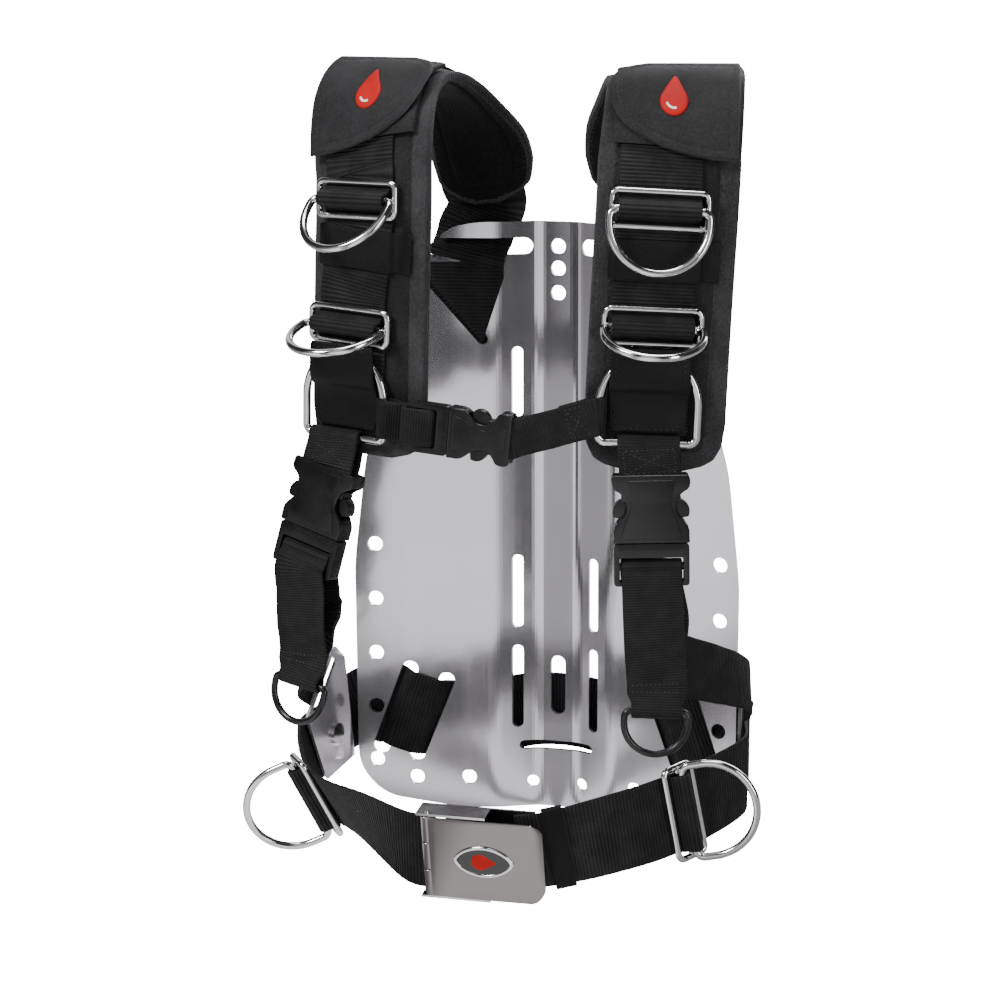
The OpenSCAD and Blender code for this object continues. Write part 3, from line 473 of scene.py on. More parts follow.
def solid(name, f, parts, mat, body, bevel=0.7, finish=None):
    """Outline parts drawn in a frame's XZ plane, each extruded between two depths, with softened rims.
    A part is (outline, y0, y1[, hole[, bevel]])."""
    bm = bmesh.new()
    for part in parts:
        outline, y0, y1 = np.asarray(part[0], float), part[1], part[2]
        hole = part[3] if len(part) > 3 else None
        soft = part[4] if len(part) > 4 else bevel
        before = set(bm.verts)
        edges = []
        for loop in [outline] + ([np.asarray(hole, float)] if hole is not None else []):
            vs = [bm.verts.new((x, y0, z)) for x, z in loop]
            edges += [bm.edges.new((vs[i], vs[(i + 1) % len(vs)])) for i in range(len(vs))]
        if hole is None:
            made = bmesh.ops.contextual_create(bm, geom=edges)["faces"]
        else:
            made = [g for g in bmesh.ops.triangle_fill(bm, edges=edges, use_beauty=True)["geom"]
                    if isinstance(g, bmesh.types.BMFace)]
        ext = bmesh.ops.extrude_face_region(bm, geom=made, use_keep_orig=True)["geom"]
        far = [g for g in ext if isinstance(g, bmesh.types.BMVert)]
        bmesh.ops.translate(bm, verts=far, vec=(0, y1 - y0, 0))
        bmesh.ops.recalc_face_normals(bm, faces=[g for g in bm.faces if g.verts[0] not in before])
        rims = [e for e in bm.edges if e.verts[0] not in before and folded(e, 50)]
        if soft:
            bmesh.ops.bevel(bm, geom=rims, offset=soft, segments=3, profile=0.6, affect="EDGES",
                            clamp_overlap=True)
    if finish:
        finish(bm)
    mesh = bpy.data.meshes.new(name)
    pts = place(f, [tuple(v.co) for v in bm.verts])
    for v, p in zip(bm.verts, (pts - ORIGIN) / 1000):
        v.co = p
    bmesh.ops.recalc_face_normals(bm, faces=bm.faces)
    for face in bm.faces:
        face.smooth = True
    for e in bm.edges:
        if folded(e, 32):
            e.smooth = False
    bm.to_mesh(mesh)
    bm.free()
    mesh.materials.append(mat)
    return register(name, mesh, body)


def add_rod(bm, p, q, r, n=20):
    """A closed round rod between two local points."""
    p, q = Vector(p), Vector(q)
    d = (q - p)
    z = d.normalized()
    x = z.orthogonal().normalized()
    y = z.cross(x)
    rings = []
    for c, k in ((p, r - 0.5), (p + z * 0.5, r), (q - z * 0.5, r), (q, r - 0.5)):
        rings.append([bm.verts.new(c + (x * math.cos(a) + y * math.sin(a)) * k)
                      for a in np.linspace(0, 2 * math.pi, n, endpoint=False)])
    for one, two in zip(rings[:-1], rings[1:]):
        for i in range(n):
            bm.faces.new((one[i], one[(i + 1) % n], two[(i + 1) % n], two[i]))
    bm.faces.new(rings[0][::-1])
    bm.faces.new(rings[-1])


# ---- materials ----

def add(nt, kind, props=None, **ins):
    """A shader node with its properties and inputs set; an input given a socket is linked to it."""
    n = nt.nodes.new("ShaderNode" + kind)
    for k, v in (props or {}).items():
        setattr(n, k, v)
    for k, v in ins.items():
        sock = n.inputs[int(k[1:])] if k[0] == "i" and k[1:].isdigit() else n.inputs[k]
        if isinstance(v, bpy.types.NodeSocket):
            nt.links.new(v, sock)
        else:
            sock.default_value = v
    return n


def begin(name, **sockets):
    m = bpy.data.materials.new(name)
    m.use_nodes = True
    nt = m.node_tree
    b = nt.nodes["Principled BSDF"]
    for k, v in sockets.items():
        b.inputs[k.replace("_", " ")].default_value = v
    return m, nt, b


def math_node(nt, op, a, b=0.0):
    return add(nt, "Math", {"operation": op}, i0=a, i1=b).outputs[0]


def summed(nt, first, *others):
    for value in others:
        first = math_node(nt, "ADD", first, value)
    return first


def mixed(nt, factor, one, two):
    n = add(nt, "Mix", {"data_type": "RGBA"}, i0=factor)
    n.inputs[6].default_value = (*one, 1)
    n.inputs[7].default_value = (*two, 1)
    return n.outputs[2]


def ramped(nt, value, lo, hi, out_lo, out_hi):
    return add(nt, "MapRange", None, i0=value, i1=lo, i2=hi, i3=out_lo, i4=out_hi).outputs[0]


def noise_at(nt, vector, scale, detail=3.0, rough=0.55):
    return add(nt, "TexNoise", None, Vector=vector, Scale=scale, Detail=detail, Roughness=rough).outputs["Fac"]


def stretched(nt, vector, scale):
    return add(nt, "Mapping", None, Vector=vector, Scale=scale).outputs[0]


def bumped(nt, b, layers):
    """Layers of (height socket, strength, distance in metres), one on top of the other."""
    normal = None
    for height, strength, distance in layers:
        n = add(nt, "Bump", None, Height=height, Strength=strength, Distance=distance)
        if normal:
            nt.links.new(normal, n.inputs["Normal"])
        normal = n.outputs[0]
    nt.links.new(normal, b.inputs["Normal"])


def steel(name, base, rough, brush, wave, metallic=1.0):
    """Polished metal, a little wavy, with fine brushing and smears."""
    m, nt, b = begin(name, Metallic=metallic)
    c = add(nt, "TexCoord").outputs["Object"]
    cloud = noise_at(nt, c, 14.0, 4.0)
    line = noise_at(nt, stretched(nt, c, brush), 60.0, 4.0, 0.65)
    smear = noise_at(nt, c, 30.0, 3.0)
    nt.links.new(mixed(nt, ramped(nt, cloud, 0.3, 0.7, 0, 1), [v * 0.94 for v in base], base),
                 b.inputs["Base Color"])
    nt.links.new(summed(nt, ramped(nt, smear, 0.35, 0.7, *rough), ramped(nt, line, 0.3, 0.7, -0.02, 0.04)),
                 b.inputs["Roughness"])
    bumped(nt, b, [(cloud, wave, 0.004), (line, 0.05, 0.0002)])
    return m


def webbing_cloth(name, dark, light, pitch=RIB, rough=0.62, ribs=0.35):
    """Ribbed webbing with painted shade in its grooves; the strap's UV is in millimetres across and along it.
    """
    m, nt, b = begin(name, Roughness=rough, Sheen_Weight=0.06, Sheen_Roughness=0.4,
                     Sheen_Tint=(0.7, 0.72, 0.78, 1), Specular_IOR_Level=0.2)
    uv = add(nt, "TexCoord").outputs["UV"]
    xyz = add(nt, "SeparateXYZ", None, i0=uv)
    rib = math_node(nt, "COSINE", math_node(nt, "MULTIPLY", xyz.outputs[1], 2 * math.pi / pitch))
    thread = math_node(nt, "SINE", math_node(nt, "MULTIPLY", xyz.outputs[0], 2 * math.pi / 1.35))
    weave = math_node(nt, "MULTIPLY", math_node(nt, "MULTIPLY", rib, thread), 0.5)
    fuzz = noise_at(nt, stretched(nt, uv, (1.0, 0.5, 1.0)), 2.6, 4.0, 0.7)
    worn = noise_at(nt, uv, 0.07, 3.0)
    # Tone: painted shade in the rib grooves and painted highlight on rib tops, plus lint and wear
    tone = summed(nt, ramped(nt, rib, -1, 1, 0.0, 0.5), ramped(nt, fuzz, 0.35, 0.7, -0.1, 0.35),
                  ramped(nt, worn, 0.35, 0.7, -0.1, 0.3))
    nt.links.new(mixed(nt, tone, dark, light), b.inputs["Base Color"])
    bumped(nt, b, [(rib, ribs, 0.0005), (weave, 0.4, 0.0002), (fuzz, 0.35, 0.0002)])
    return m


def cloth(name, dark, light, rough=0.7, grain=900.0, sheen=0.08, bump=0.5, fold=0.15):
    """Woven fabric with fuzz and worn places."""
    m, nt, b = begin(name, Roughness=rough, Sheen_Weight=sheen, Sheen_Roughness=0.45,
                     Sheen_Tint=(0.75, 0.77, 0.82, 1), Specular_IOR_Level=0.18)
    c = add(nt, "TexCoord").outputs["Object"]
    warp, weft = (add(nt, "TexWave", {"bands_direction": way}, Vector=v, Scale=grain * k, Distortion=1.5,
                      Detail=2.0).outputs["Fac"]
                  for way, v, k in (("DIAGONAL", c, 1), ("X", stretched(nt, c, (1, -1, 1)), 0.9)))
    weave = math_node(nt, "MULTIPLY", warp, weft)
    fuzz = noise_at(nt, c, 700.0, 3.0, 0.7)
    worn = noise_at(nt, c, 26.0, 4.0)
    tone = summed(nt, ramped(nt, weave, 0, 1, 0, 0.6), ramped(nt, fuzz, 0.3, 0.7, -0.1, 0.3),
                  ramped(nt, worn, 0.35, 0.7, -0.1, 0.25))
    nt.links.new(mixed(nt, tone, dark, light), b.inputs["Base Color"])
    bumped(nt, b, [(worn, fold, 0.002), (weave, bump, 0.0004), (fuzz, bump * 0.6, 0.0002)])
    return m


def moulded(name, dark, light, rough=0.34, coat=0.0, spec=0.4):
    """Plastic, enamel or thread with a faint grain."""
    m, nt, b = begin(name, Coat_Weight=coat, Coat_Roughness=0.12, Specular_IOR_Level=spec)
    c = add(nt, "TexCoord").outputs["Object"]
    cloud = noise_at(nt, c, 60.0, 4.0)
    grain = noise_at(nt, c, 1500.0, 2.0)
    nt.links.new(mixed(nt, ramped(nt, cloud, 0.3, 0.7, 0, 1), dark, light), b.inputs["Base Color"])
    nt.links.new(ramped(nt, cloud, 0.3, 0.7, rough, rough + 0.14), b.inputs["Roughness"])
    bumped(nt, b, [(cloud, 0.08, 0.001), (grain, 0.25, 0.0001)])
    return m


PLATE = steel("polished_plate", (0.76, 0.73, 0.775), (0.12, 0.16), (1, 1, 0.02), 0.04, 0.82)
WIRE = steel("polished_wire", (0.78, 0.77, 0.77), (0.08, 0.17), (1, 1, 1), 0.03)
LID = steel("polished_lid", (0.27, 0.25, 0.246), (0.17, 0.22), (0.02, 1, 1), 0.05)
RIBBED = webbing_cloth("ribbed_webbing", (0.001, 0.001, 0.0012), (0.024, 0.0235, 0.025))
STRAP = webbing_cloth("narrow_webbing", (0.001, 0.001, 0.0012), (0.018, 0.018, 0.019), FINE_RIB, 0.6, 0.25)
SLEEVE = webbing_cloth("smooth_band", (0.0012, 0.0012, 0.0014), (0.01, 0.01, 0.011), 1.1, 0.6, 0.12)
PAD = cloth("pad_cloth", (0.004, 0.004, 0.0043), (0.045, 0.045, 0.048), 0.6, sheen=0.08)
BINDING = cloth("edge_binding", (0.012, 0.012, 0.0127), (0.1, 0.1, 0.105), 0.7, 620.0, 0.12, 0.8)
LINING = cloth("quilted_lining", (0.0015, 0.0015, 0.0017), (0.006, 0.006, 0.0066), 0.7, 500.0, 0.08, 0.7, 0.6)
PATCH = cloth("smooth_patch", (0.002, 0.002, 0.0022), (0.005, 0.005, 0.0054), 0.45, 1200.0, 0.08, 0.25, 0.5)
PLASTIC = moulded("satin_plastic", (0.003, 0.003, 0.0033), (0.006, 0.006, 0.0066), 0.2, 0.0, 0.5)
RUBBER = cloth("keeper_elastic", (0.002, 0.002, 0.002), (0.006, 0.006, 0.0064), 0.7, 800.0, 0.06, 0.6)
RED = moulded("red_mark", (0.34, 0.004, 0.004), (0.55, 0.01, 0.008), 0.5, 0.0, 0.15)
# Pale for the badge's crescent: a painted highlight, shaped after the emblem's pale dash
PALE_DASH_GLINT = moulded("pale_mark", (0.72, 0.72, 0.72), (0.82, 0.82, 0.82), 0.4)
ENAMEL = moulded("black_enamel", (0.006, 0.006, 0.007), (0.012, 0.012, 0.013), 0.16, 0.6)
THREAD_GREY = moulded("sewing_thread", (0.02, 0.02, 0.022), (0.07, 0.07, 0.074), 0.55)

for key, obj in nodes.items():
    base = key.replace("_left", "").replace("_right", "")
    finish = {"backplate": PLATE, "hip_bracket": PLATE, "pull_ring": PLASTIC}.get(base, WIRE)
    for slot_ in obj.material_slots:
        slot_.material = finish
    obj.data.polygons.foreach_set("use_smooth", np.ones(len(obj.data.polygons), bool))
    obj.data.set_sharp_from_angle(angle=math.radians(35))


# ---- shoulder pads ----

def rolled(d, r):
    """A quarter round that rises from 0 at the edge to 1 at the distance r."""
    k = np.clip(d / r, 0, 1)
    return np.sqrt(k * (2 - k))


def spread(f, x, h):
    """Points beside a frame's origin: x across and h out."""
    return f[0] + x[:, None] * f[1] + h[:, None] * f[2]


def edge_height(d):
    """Half thickness of a pad at a distance from its edge: rolled rim, flat binding, seam, foam."""
    rim = 1.7 + 1.3 * rolled(d, 1.6)
    seam = -0.75 * np.exp(-((d - BINDING_W) / 0.8) ** 2)
    foam = 1.55 * (1 - (1 - np.clip((d - 12) / 9, 0, 1)) ** 2.4)
    return rim + seam + foam + 0.25 * np.sin(np.clip(d / BINDING_W, 0, 1) * math.pi)


def route_samples(route, start, stop, step):
    """Route places at even spacing in millimetres."""
    at = np.linspace(start, stop, 1200)
    pts = np.array([along(route, q)[:3] for q in at])
    s = lengths(pts)
    n = int(s[-1] / step)
    q = np.linspace(0, s[-1], n + 1)
    return np.interp(q, s, at), q


def pad_width(at):
    p = np.array(PAD_PLAN)
    return PAD_W * np.interp(at, p[:, 0], p[:, 1])


def shoulder_pad(s):
    ats, dist = route_samples(SHOULDER[s], PAD_PLAN[0][0], PAD_PLAN[-1][0], 1.5)
    u = np.sin(np.linspace(-math.pi / 2, math.pi / 2, 71))
    u = u * 0.55 + np.linspace(-1, 1, 71) * 0.45
    frames = [on_route(SHOULDER[s], q) for q in ats]
    half = np.array([pad_width(q) for q in ats]) / 2
    front = np.zeros((len(ats), 71, 3))
    back = front.copy()
    d_all = np.zeros((len(ats), 71))
    for i, f in enumerate(frames):
        x = u * half[i]
        d_end = min(dist[i], dist[-1] - dist[i])
        d = np.minimum(half[i] - np.abs(x), d_end)
        corner = np.hypot(np.clip(12 - (half[i] - np.abs(x)), 0, 12), np.clip(12 - d_end, 0, 12))
        d = np.where(corner > 0, np.clip(np.minimum(d, 12 - corner), 0, None), d)
        d_all[i] = d
        soft = 0.16 * math.sin(dist[i] / 13.0) * np.cos(x / 9.0) + 0.22 * rng((dist[i] / 22, s * 9.0, 0))
        inner = np.clip((d - 14) / 8, 0, 1)
        h = edge_height(d) + inner * (soft - 0.15)
        folds = 0.5 * np.sin(2 * math.pi * dist[i] / 31.0 + 0.8 * np.sin(x / 16)) * inner \
            + 0.3 * rng((dist[i] / 15, 3.0, s * 5.0)) * inner
        g = -edge_height(d) + inner * 0.35 + folds * (1 if 1.2 < ats[i] < 9.2 else 0.3)
        front[i] = spread(f, x, h)
        back[i] = spread(f, x, g)
    mid = (d_all[:-1, :-1] + d_all[1:, 1:]) / 2
    one = np.where(mid < BINDING_W, 1, 0)
    two = np.where(mid < BINDING_BACK_W, 1, 2)
    obj = slab("shoulder_pad_" + NAMES[s], front, back, [PAD, BINDING, LINING], index=(one, two), rim_index=1,
               slot="pad_cloth")
    runs = []
    for face in (1, -1):
        for side in (-1, 1):
            for inset in ((10.4, 3.4) if face > 0 else (4.6,)):
                keep = (dist > 14) & (dist < dist[-1] - 22)
                pts = [off(f, side * (w - inset), face * (float(edge_height(np.array(inset))) + 0.02), 0)
                       for f, w, k in zip(frames, half, keep) if k]
                runs.append((pts, [f[2] * face for f, k in zip(frames, keep) if k]))
    stitches("pad_stitches_" + NAMES[s], runs, 3.2, 1.3, 0.6, zig=0.5, slot="pad_cloth")


def over_bar(f, bar, angles, run_in):
    """Rows of a strap that climbs by the run-in, turns over a bar and comes down again as it went up."""
    turn = [[ROLL_R * math.cos(math.radians(a)), bar + ROLL_R * math.sin(math.radians(a))] for a in angles]
    table = run_in + turn + [[-up, out] for up, out in run_in[::-1]]
    return [[off(f, 0, out, up), f[1]] for up, out in table]


def shoulder_webbing(s):
    climb = [[-16, WEB_LIFT], [-10.5, WEB_LIFT], [-7.5, WEB_LIFT + 0.8], [-5, WIRE_LIFT + 0.8]]
    turn = range(180, -1, -30)
    rows = [web_frame(s, at, WEB_LIFT)[:2] for at in (RING_AT[s] - 0.4, RING_AT[s])]
    rows += over_bar(web_frame(s, LOWER_AT[s], 0), BAR_LIFT, turn, climb)
    rows += [web_frame(s, at, WEB_LIFT)[:2] for at in (2.25, 2.5)]
    rows += over_bar(web_frame(s, UPPER_AT[s], 0), BAR_LIFT, turn, climb)
    rows += [web_frame(s, at, WEB_LIFT + max(0, at - 8) / 2)[:2] for at in np.arange(3.5, 9.81, 0.25)]
    across = [1, -SIGN[s] * math.tan(WING_A), 0]
    for x, out, z in ((48, -18, 406), (50, -12.5, 396), (53, -9, 388), (54, -8, 384), (55, -3.2, 378),
                      (56, 1.8, 372.4), (57, 2.1, 368)):
        rows.append(frame_at([SIGN[s] * x, wing_y(x, out), z], [0, 0, -1], across)[:2])
    webbing("shoulder_webbing_" + NAMES[s], rows, WEB_W, RIBBED)


def wing_webbing(s):
    """The webbing threaded through a wing: in front, behind, and the fold in the sloping slot."""
    fronts = [[368, 33, 83], [358, 33, 82]] + [[z, 33 + (358 - z) * 0.33, min(82, 47 + (z - 316) * 0.864)]
                                               for z in (354, 340, 328, 320, 316.5)]
    backs = [[356, 77, 82], [348, 71, 86], [322, 47, 86], [318, 42, 86], [262, 42, 86]]
    k = np.array([0, 0.03, 0.1, 0.25, 0.4, 0.6, 0.75, 0.9, 0.97, 1])
    crown = np.array([0.9, 0.3, 0, 0, 0, 0, 0, 0, 0.3, 0.9])
    for part, table, (y0, y1) in (("front", fronts, WING_WEB_FRONT), ("back", backs, WING_WEB_BACK)):
        t = np.array(table, float)
        z = np.linspace(t[0, 0], t[-1, 0], int(abs(t[0, 0] - t[-1, 0]) / (RIB / 4)) + 1)
        lo, hi = np.interp(-z, -t[:, 0], t[:, 1]), np.interp(-z, -t[:, 0], t[:, 2])
        x = lo[:, None] + (hi - lo)[:, None] * k[None, :]
        rib = RIB_H * (1 - np.cos(2 * math.pi * z / RIB))[:, None]
        sides = []
        for y, sign in ((y0, 1), (y1, -1)):
            yy = y + sign * (crown[None, :] + rib)
            sides.append(np.array([[on_wing(s, x[i, j] - RIDGE_X, yy[i, j], z[i]) for j in range(len(k))]
                                   for i in range(len(z))]))
        uv = np.stack([x, np.repeat(z[:, None], len(k), 1)], -1)
        slab("wing_webbing_%s_%s" % (part, NAMES[s]), *sides, RIBBED, uv=uv, slot="webbing", flat_angle=60)
    f = [on_wing(s, -RIDGE_X, 0, 0), np.array([SIGN[s] * math.cos(WING_A), -math.sin(WING_A), 0]),
         np.array([-SIGN[s] * math.sin(WING_A), -math.cos(WING_A), 0]), np.array([0, 0, 1.0])]
    top, low = np.array([81, 357.0]), np.array([47, 317.5])
    d = unit(low - top)
    plug = [top + d * a + np.array([d[1], -d[0]]) * b for a, b in ((3, -1.1), (49, -1.1), (49, 1.1), (3, 1.1))]
    solid("wing_webbing_fold_" + NAMES[s], f, [(rounded(plug, 0.6), -1.5, 5.2)], RIBBED, "harness",
          bevel=0.6)


def band_rows(s, at):
    """The sleeve that runs over the webbing, from one edge of the pad to the other."""
    f = on_route(SHOULDER[s], at, PAD_T / 2)
    x = web_shift(s, at)
    table = [[-SLEEVE_END, 0.75], [min(x - 28.6, -31), 0.8], [x - 27.6, 1.6], [x - 26.4, BAND_LIFT - 0.2],
             [x - 24, BAND_LIFT], [x, BAND_LIFT], [x + 24, BAND_LIFT], [x + 26.4, BAND_LIFT - 0.2],
             [x + 27.6, 1.6], [max(x + 28.6, 31), 0.8], [SLEEVE_END, 0.75]]
    return [[off(f, across, out, 0), -f[3]] for across, out in table]


def base_band(s):
    """A flat sleeve over the webbing, under the flap."""
    n, grids = 56, []
    ats, dist = route_samples(SHOULDER[s], *BASE_RUN, 1.8)
    for inset in (0.0, 1.3):
        g = np.zeros((len(ats), n, 3))
        for i, at in enumerate(ats):
            f = on_route(SHOULDER[s], at)
            w = BASE_HALF_W - inset
            lip = 0.55 * math.exp(-min(dist[i], dist[-1] - dist[i]) / 1.8) * (1 if inset == 0 else -0.3)
            top, low = BASE_TOP - inset - lip, BASE_FOOT + inset * 0.3
            for j in range(n):
                a = 2 * math.pi * j / n
                c, k = math.cos(a), math.sin(a)
                x = SIGN[s] * BASE_SHIFT + w * math.copysign(abs(c) ** BASE_SQUARE, c)
                y = (top + low) / 2 + (top - low) / 2 * math.copysign(abs(k) ** (BASE_SQUARE * 1.35), k)
                y += 0.25 * rng((x / 14, y / 9, dist[i] / 12), 1.0, s * 3.0) * (0 if k < 0 and inset else 1)
                g[i, j] = off(f, x, y, 0)
        grids.append(g)
    m = len(ats)
    verts = np.vstack([g.reshape(-1, 3) for g in grids])
    faces = grid_faces(m, n, True).tolist() + [q[::-1] for q in grid_faces(m, n, True, m * n).tolist()]
    for i in (0, m - 1):
        for j in range(n):
            a, b = i * n + j, i * n + (j + 1) % n
            faces.append([a, b, b + m * n, a + m * n])
    add_mesh("flap_base_" + NAMES[s], verts, faces, PAD, slot="pad_cloth", flat_angle=70)
    runs = []
    for i in (2, m - 3):
        pts = [grids[0][i, j] for j in range(4, n // 2 - 3)]
        nrm = [on_route(SHOULDER[s], ats[i])[2]] * len(pts)
        runs.append((pts, nrm))
    stitches("flap_base_stitches_" + NAMES[s], runs, 2.6, 1.2, 0.5, slot="pad_cloth")


def flap(s):
    table = np.array(FLAP)
    ats, dist = route_samples(SHOULDER[s], FLAP[0][0], FLAP[-1][0], 1.1)
    taken = np.interp(ats, table[:, 0], table[:, 1])
    cut = dist[-1]
    smooth = np.convolve(np.pad(taken, 3, mode="edge"), np.ones(7) / 7, "valid")
    taken = np.where((dist > 6) & (dist < cut - 6), smooth, taken)
    x1 = FLAP_W / 2
    x0 = FLAP_W * (taken - 0.5)
    n = 60
    edge = [[x1, q] for q in dist] + [[x, q] for x, q in zip(x0[::-1], dist[::-1])]
    loop = np.array(edge + [edge[0]])
    k = np.linspace(0, 1, n)
    front, back = np.zeros((len(ats), n, 3)), np.zeros((len(ats), n, 3))
    for i, at in enumerate(ats):
        f = on_route(SHOULDER[s], at, FLAP_LIFT)
        x = x0[i] + (x1 - x0[i]) * k
        p = np.stack([x, np.full(n, dist[i])], -1)
        a, b = loop[:-1], loop[1:]
        ab = b - a
        t = np.clip(((p[:, None] - a) * ab).sum(-1) / np.maximum((ab ** 2).sum(-1), 1e-9), 0, 1)
        d = np.linalg.norm(p[:, None] - (a + t[..., None] * ab), axis=-1).min(1)
        rise = rolled(d, 1.1)
        groove = 0.5 * np.exp(-((d - SEAM_IN) / 0.7) ** 2)
        crown = 0.3 * np.clip((d - 6) / 8, 0, 1)
        wave = 0.25 * np.array([rng((v / 16, dist[i] / 16, s * 4.0)) for v in x]) * np.clip(d / 6, 0, 1)
        h = -0.2 + 1.2 * rise - groove + crown + wave
        g = -0.2 - 0.75 * rise
        front[i] = spread(f, SIGN[s] * x, h)
        back[i] = spread(f, SIGN[s] * x, g)
    uv = np.stack([np.repeat(k[None, :] * FLAP_W, len(ats), 0), np.repeat(dist[:, None], n, 1)], -1)
    slab("pad_flap_" + NAMES[s], front, back, PAD, uv=uv, body="flap_" + NAMES[s], slot="pad_cloth")
    pts, nrm = [], []
    down = np.linspace(cut - 7, 7, 50)
    inner = [[x1 - SEAM_IN, q] for q in np.linspace(SEAM_IN, cut - SEAM_IN, 40)] \
        + [[max(x, -x1) + SEAM_IN, q] for x, q in zip(np.interp(down, dist, x0), down)]
    for x, q in inner + [inner[0]]:
        at = float(np.interp(q, dist, ats))
        f = on_route(SHOULDER[s], at, FLAP_LIFT)
        pts.append(f[0] + SIGN[s] * x * f[1] + 0.55 * f[2])
        nrm.append(f[2])
    stitches("pad_flap_stitches_" + NAMES[s], [(pts, nrm)], 2.6, 1.2, 0.55, body="flap_" + NAMES[s],
             slot="pad_cloth")


def drop_outline(r, tip, n=64):
    """A water drop: a circle at the origin and a point above it, as (x, z)."""
    out = []
    for i in range(n):
        a = 2 * math.pi * i / n
        c, k = math.sin(a), math.cos(a)
        lift = max(0.0, k) ** 3
        out.append([r * c * (1 - 0.55 * lift), r * k + (tip - r) * lift])
    return np.array(out)


def domed(name, outline, surface, height, mat, body):
    """A low dome over an outline; surface(x, z, h) gives the point at height h over the ground."""
    steps = [(1, -0.6), (1, 0.25), (0.985, 0.6), (0.94, 0.85), (0.85, 0.95), (0.65, 1), (0.4, 1), (0.15, 1)]
    n = len(outline)
    centre = outline.mean(0)
    verts = []
    for k, h in steps:
        high = height * h if h > 0 else -0.4
        verts += [surface(*(centre + (p - centre) * k), high) for p in outline]
    m = len(steps)
    faces = grid_faces(m, n, True).tolist() + [list(range(n)), [(m - 1) * n + i for i in range(n)][::-1]]
    add_mesh(name, verts, faces, mat, body=body, slot="badge_red", flat_angle=70)


def flap_badge(s):
    span = np.linalg.norm(along(SHOULDER[s], 5.0)[:3] - along(SHOULDER[s], 4.5)[:3]) / 0.5

    def surface(x, z, h):
        f = on_route(SHOULDER[s], 4.75 + z / span, FLAP_LIFT + 1.1 + h)
        return f[0] + f[1] * x
    domed("flap_badge_" + NAMES[s], drop_outline(8.6, 18.5), surface, 1.3, RED, "flap_" + NAMES[s])
    # A pale crescent on the drop: a painted highlight, shaped after the emblem's pale dash
    a = np.linspace(math.radians(200), math.radians(290), 12)
    ring = rounded([[5.3 * math.cos(q), 5.3 * math.sin(q)] for q in a]
                   + [[4.0 * math.cos(q), 4.0 * math.sin(q)] for q in a[::-1]], 0.3, 2)
    verts = [surface(x, z, h) for h in (0.7, 1.5) for x, z in ring]
    n = len(ring)
    faces = [list(range(n)), [n + i for i in range(n)][::-1]] + grid_faces(2, n, True).tolist()
    add_mesh("flap_badge_glint_" + NAMES[s], verts, faces, PALE_DASH_GLINT, body="flap_" + NAMES[s], slot="badge_red",
             smooth=False)


def ring_shield(s):
    f = web_frame(s, RING_AT[s], 0)
    low = WEB_LIFT + WEB_T / 2 + 1.3
    over = WEB_LIFT + WEB_T / 2 + 2 * RING_R + 2
    table = [[-18, low - 0.3, 40], [-16.5, low, 44], [-12, low, 47], [2, low, 48.5], [7, low + 1.6, 49],
             [11, over - 1, 49], [15, over, 49], [25, over + 0.25, 49], [33, over, 48], [34.5, over - 0.2, 46]]
    rows = [[off(f, 0, r[1], r[0]), f[1]] for r in table]
    s_at = lengths([r[0] for r in rows])
    path = webbing("ring_shield_" + NAMES[s], rows, 48, PATCH, thick=1.8, amp=0, step=0.9, slot="pad_cloth",
                   wave=0.5, widths=(s_at / s_at[-1], [r[2] for r in table]))
    end = path["s"][-1]
    line = [(2.5, -17), (8, -20.5), (end - 3, -20.8), (end - 3, 20.8), (8, 20.5), (2.5, 17), (2.5, -17)]
    runs = strip_lines(path, [line], facing(path, end / 2, f[2]))
    stitches("ring_shield_stitches_" + NAMES[s], runs, 2.4, 1.3, 0.5, 0.28, slot="pad_cloth")


# ---- side-release buckles: X across, Z along the strap ----

def shell_half(w, l):
    return [[w - 1.2, l / 2], [w, l / 2 - 3.5], [w - 0.6, l / 2 - 8.5], [w - 6, l / 2 - 11.5],
            [w - 9, l * 0.08], [w - 8.4, -l * 0.06], [w - 3.4, -l * 0.19], [w - 0.8, -l * 0.3],
            [w - 1.0, -l / 2]]


def both(half, flip=1):
    return [[x, flip * z] for x, z in half] + [[-x, flip * z] for x, z in half[::-1]]


def box_outline(x0, x1, z0, z1, r=0.6, flip=1):
    return rounded([[x0, flip * z0], [x1, flip * z0], [x1, flip * z1], [x0, flip * z1]], r)


def female_shell(name, f, w, l, t, flip=1):
    soft = [1.6, 2, 3, 3.5, 4, 3, 2.5, 2, 1.6]
    body = rounded(both(shell_half(w, l), flip), soft + soft[::-1], 5)
    parts = [(body, -t / 2, -t / 2 + 2.6, None, 1.25), (body, t / 2 - 2.6, t / 2, None, 1.25),
             (box_outline(-(w - 6), w - 6, 0.1 * l, l / 2 - 12, 1, flip), -t / 2 + 1.5, t / 2 - 1.5)]
    for m in (-1, 1):
        ear = box_outline(m * (w - 4), m * (w - 1), l / 2 - 8, l / 2 - 1, 0.8, flip)
        parts.append((ear, 1 - t / 2, t / 2 - 1))
        low = [[m * (w - 2.6), -l / 2 + 0.2], [m * (w - 0.6), -l / 2 + 0.2], [m * (w - 1.5), -0.26 * l],
               [m * (w - 3.4), -0.2 * l]]
        parts.append((rounded([[x, flip * z] for x, z in low], 0.4), -t / 2 + 1.2, t / 2 - 1.2, None, 0.3))
    panel = [[w - 9, l * 0.42], [w - 12.5, l * 0.08], [w - 7.5, -l * 0.24], [w - 5, -l * 0.43]]
    parts.append((rounded(both(panel, flip), 2.2), -t / 2 - 0.45, -t / 2 + 0.9, None, 0.42))

    def bar(bm):
        add_rod(bm, (-(w - 2), 0, flip * (l / 2 - 2.2)), (w - 2, 0, flip * (l / 2 - 2.2)), 2)
    solid(name, f, parts, PLASTIC, "harness", finish=bar)


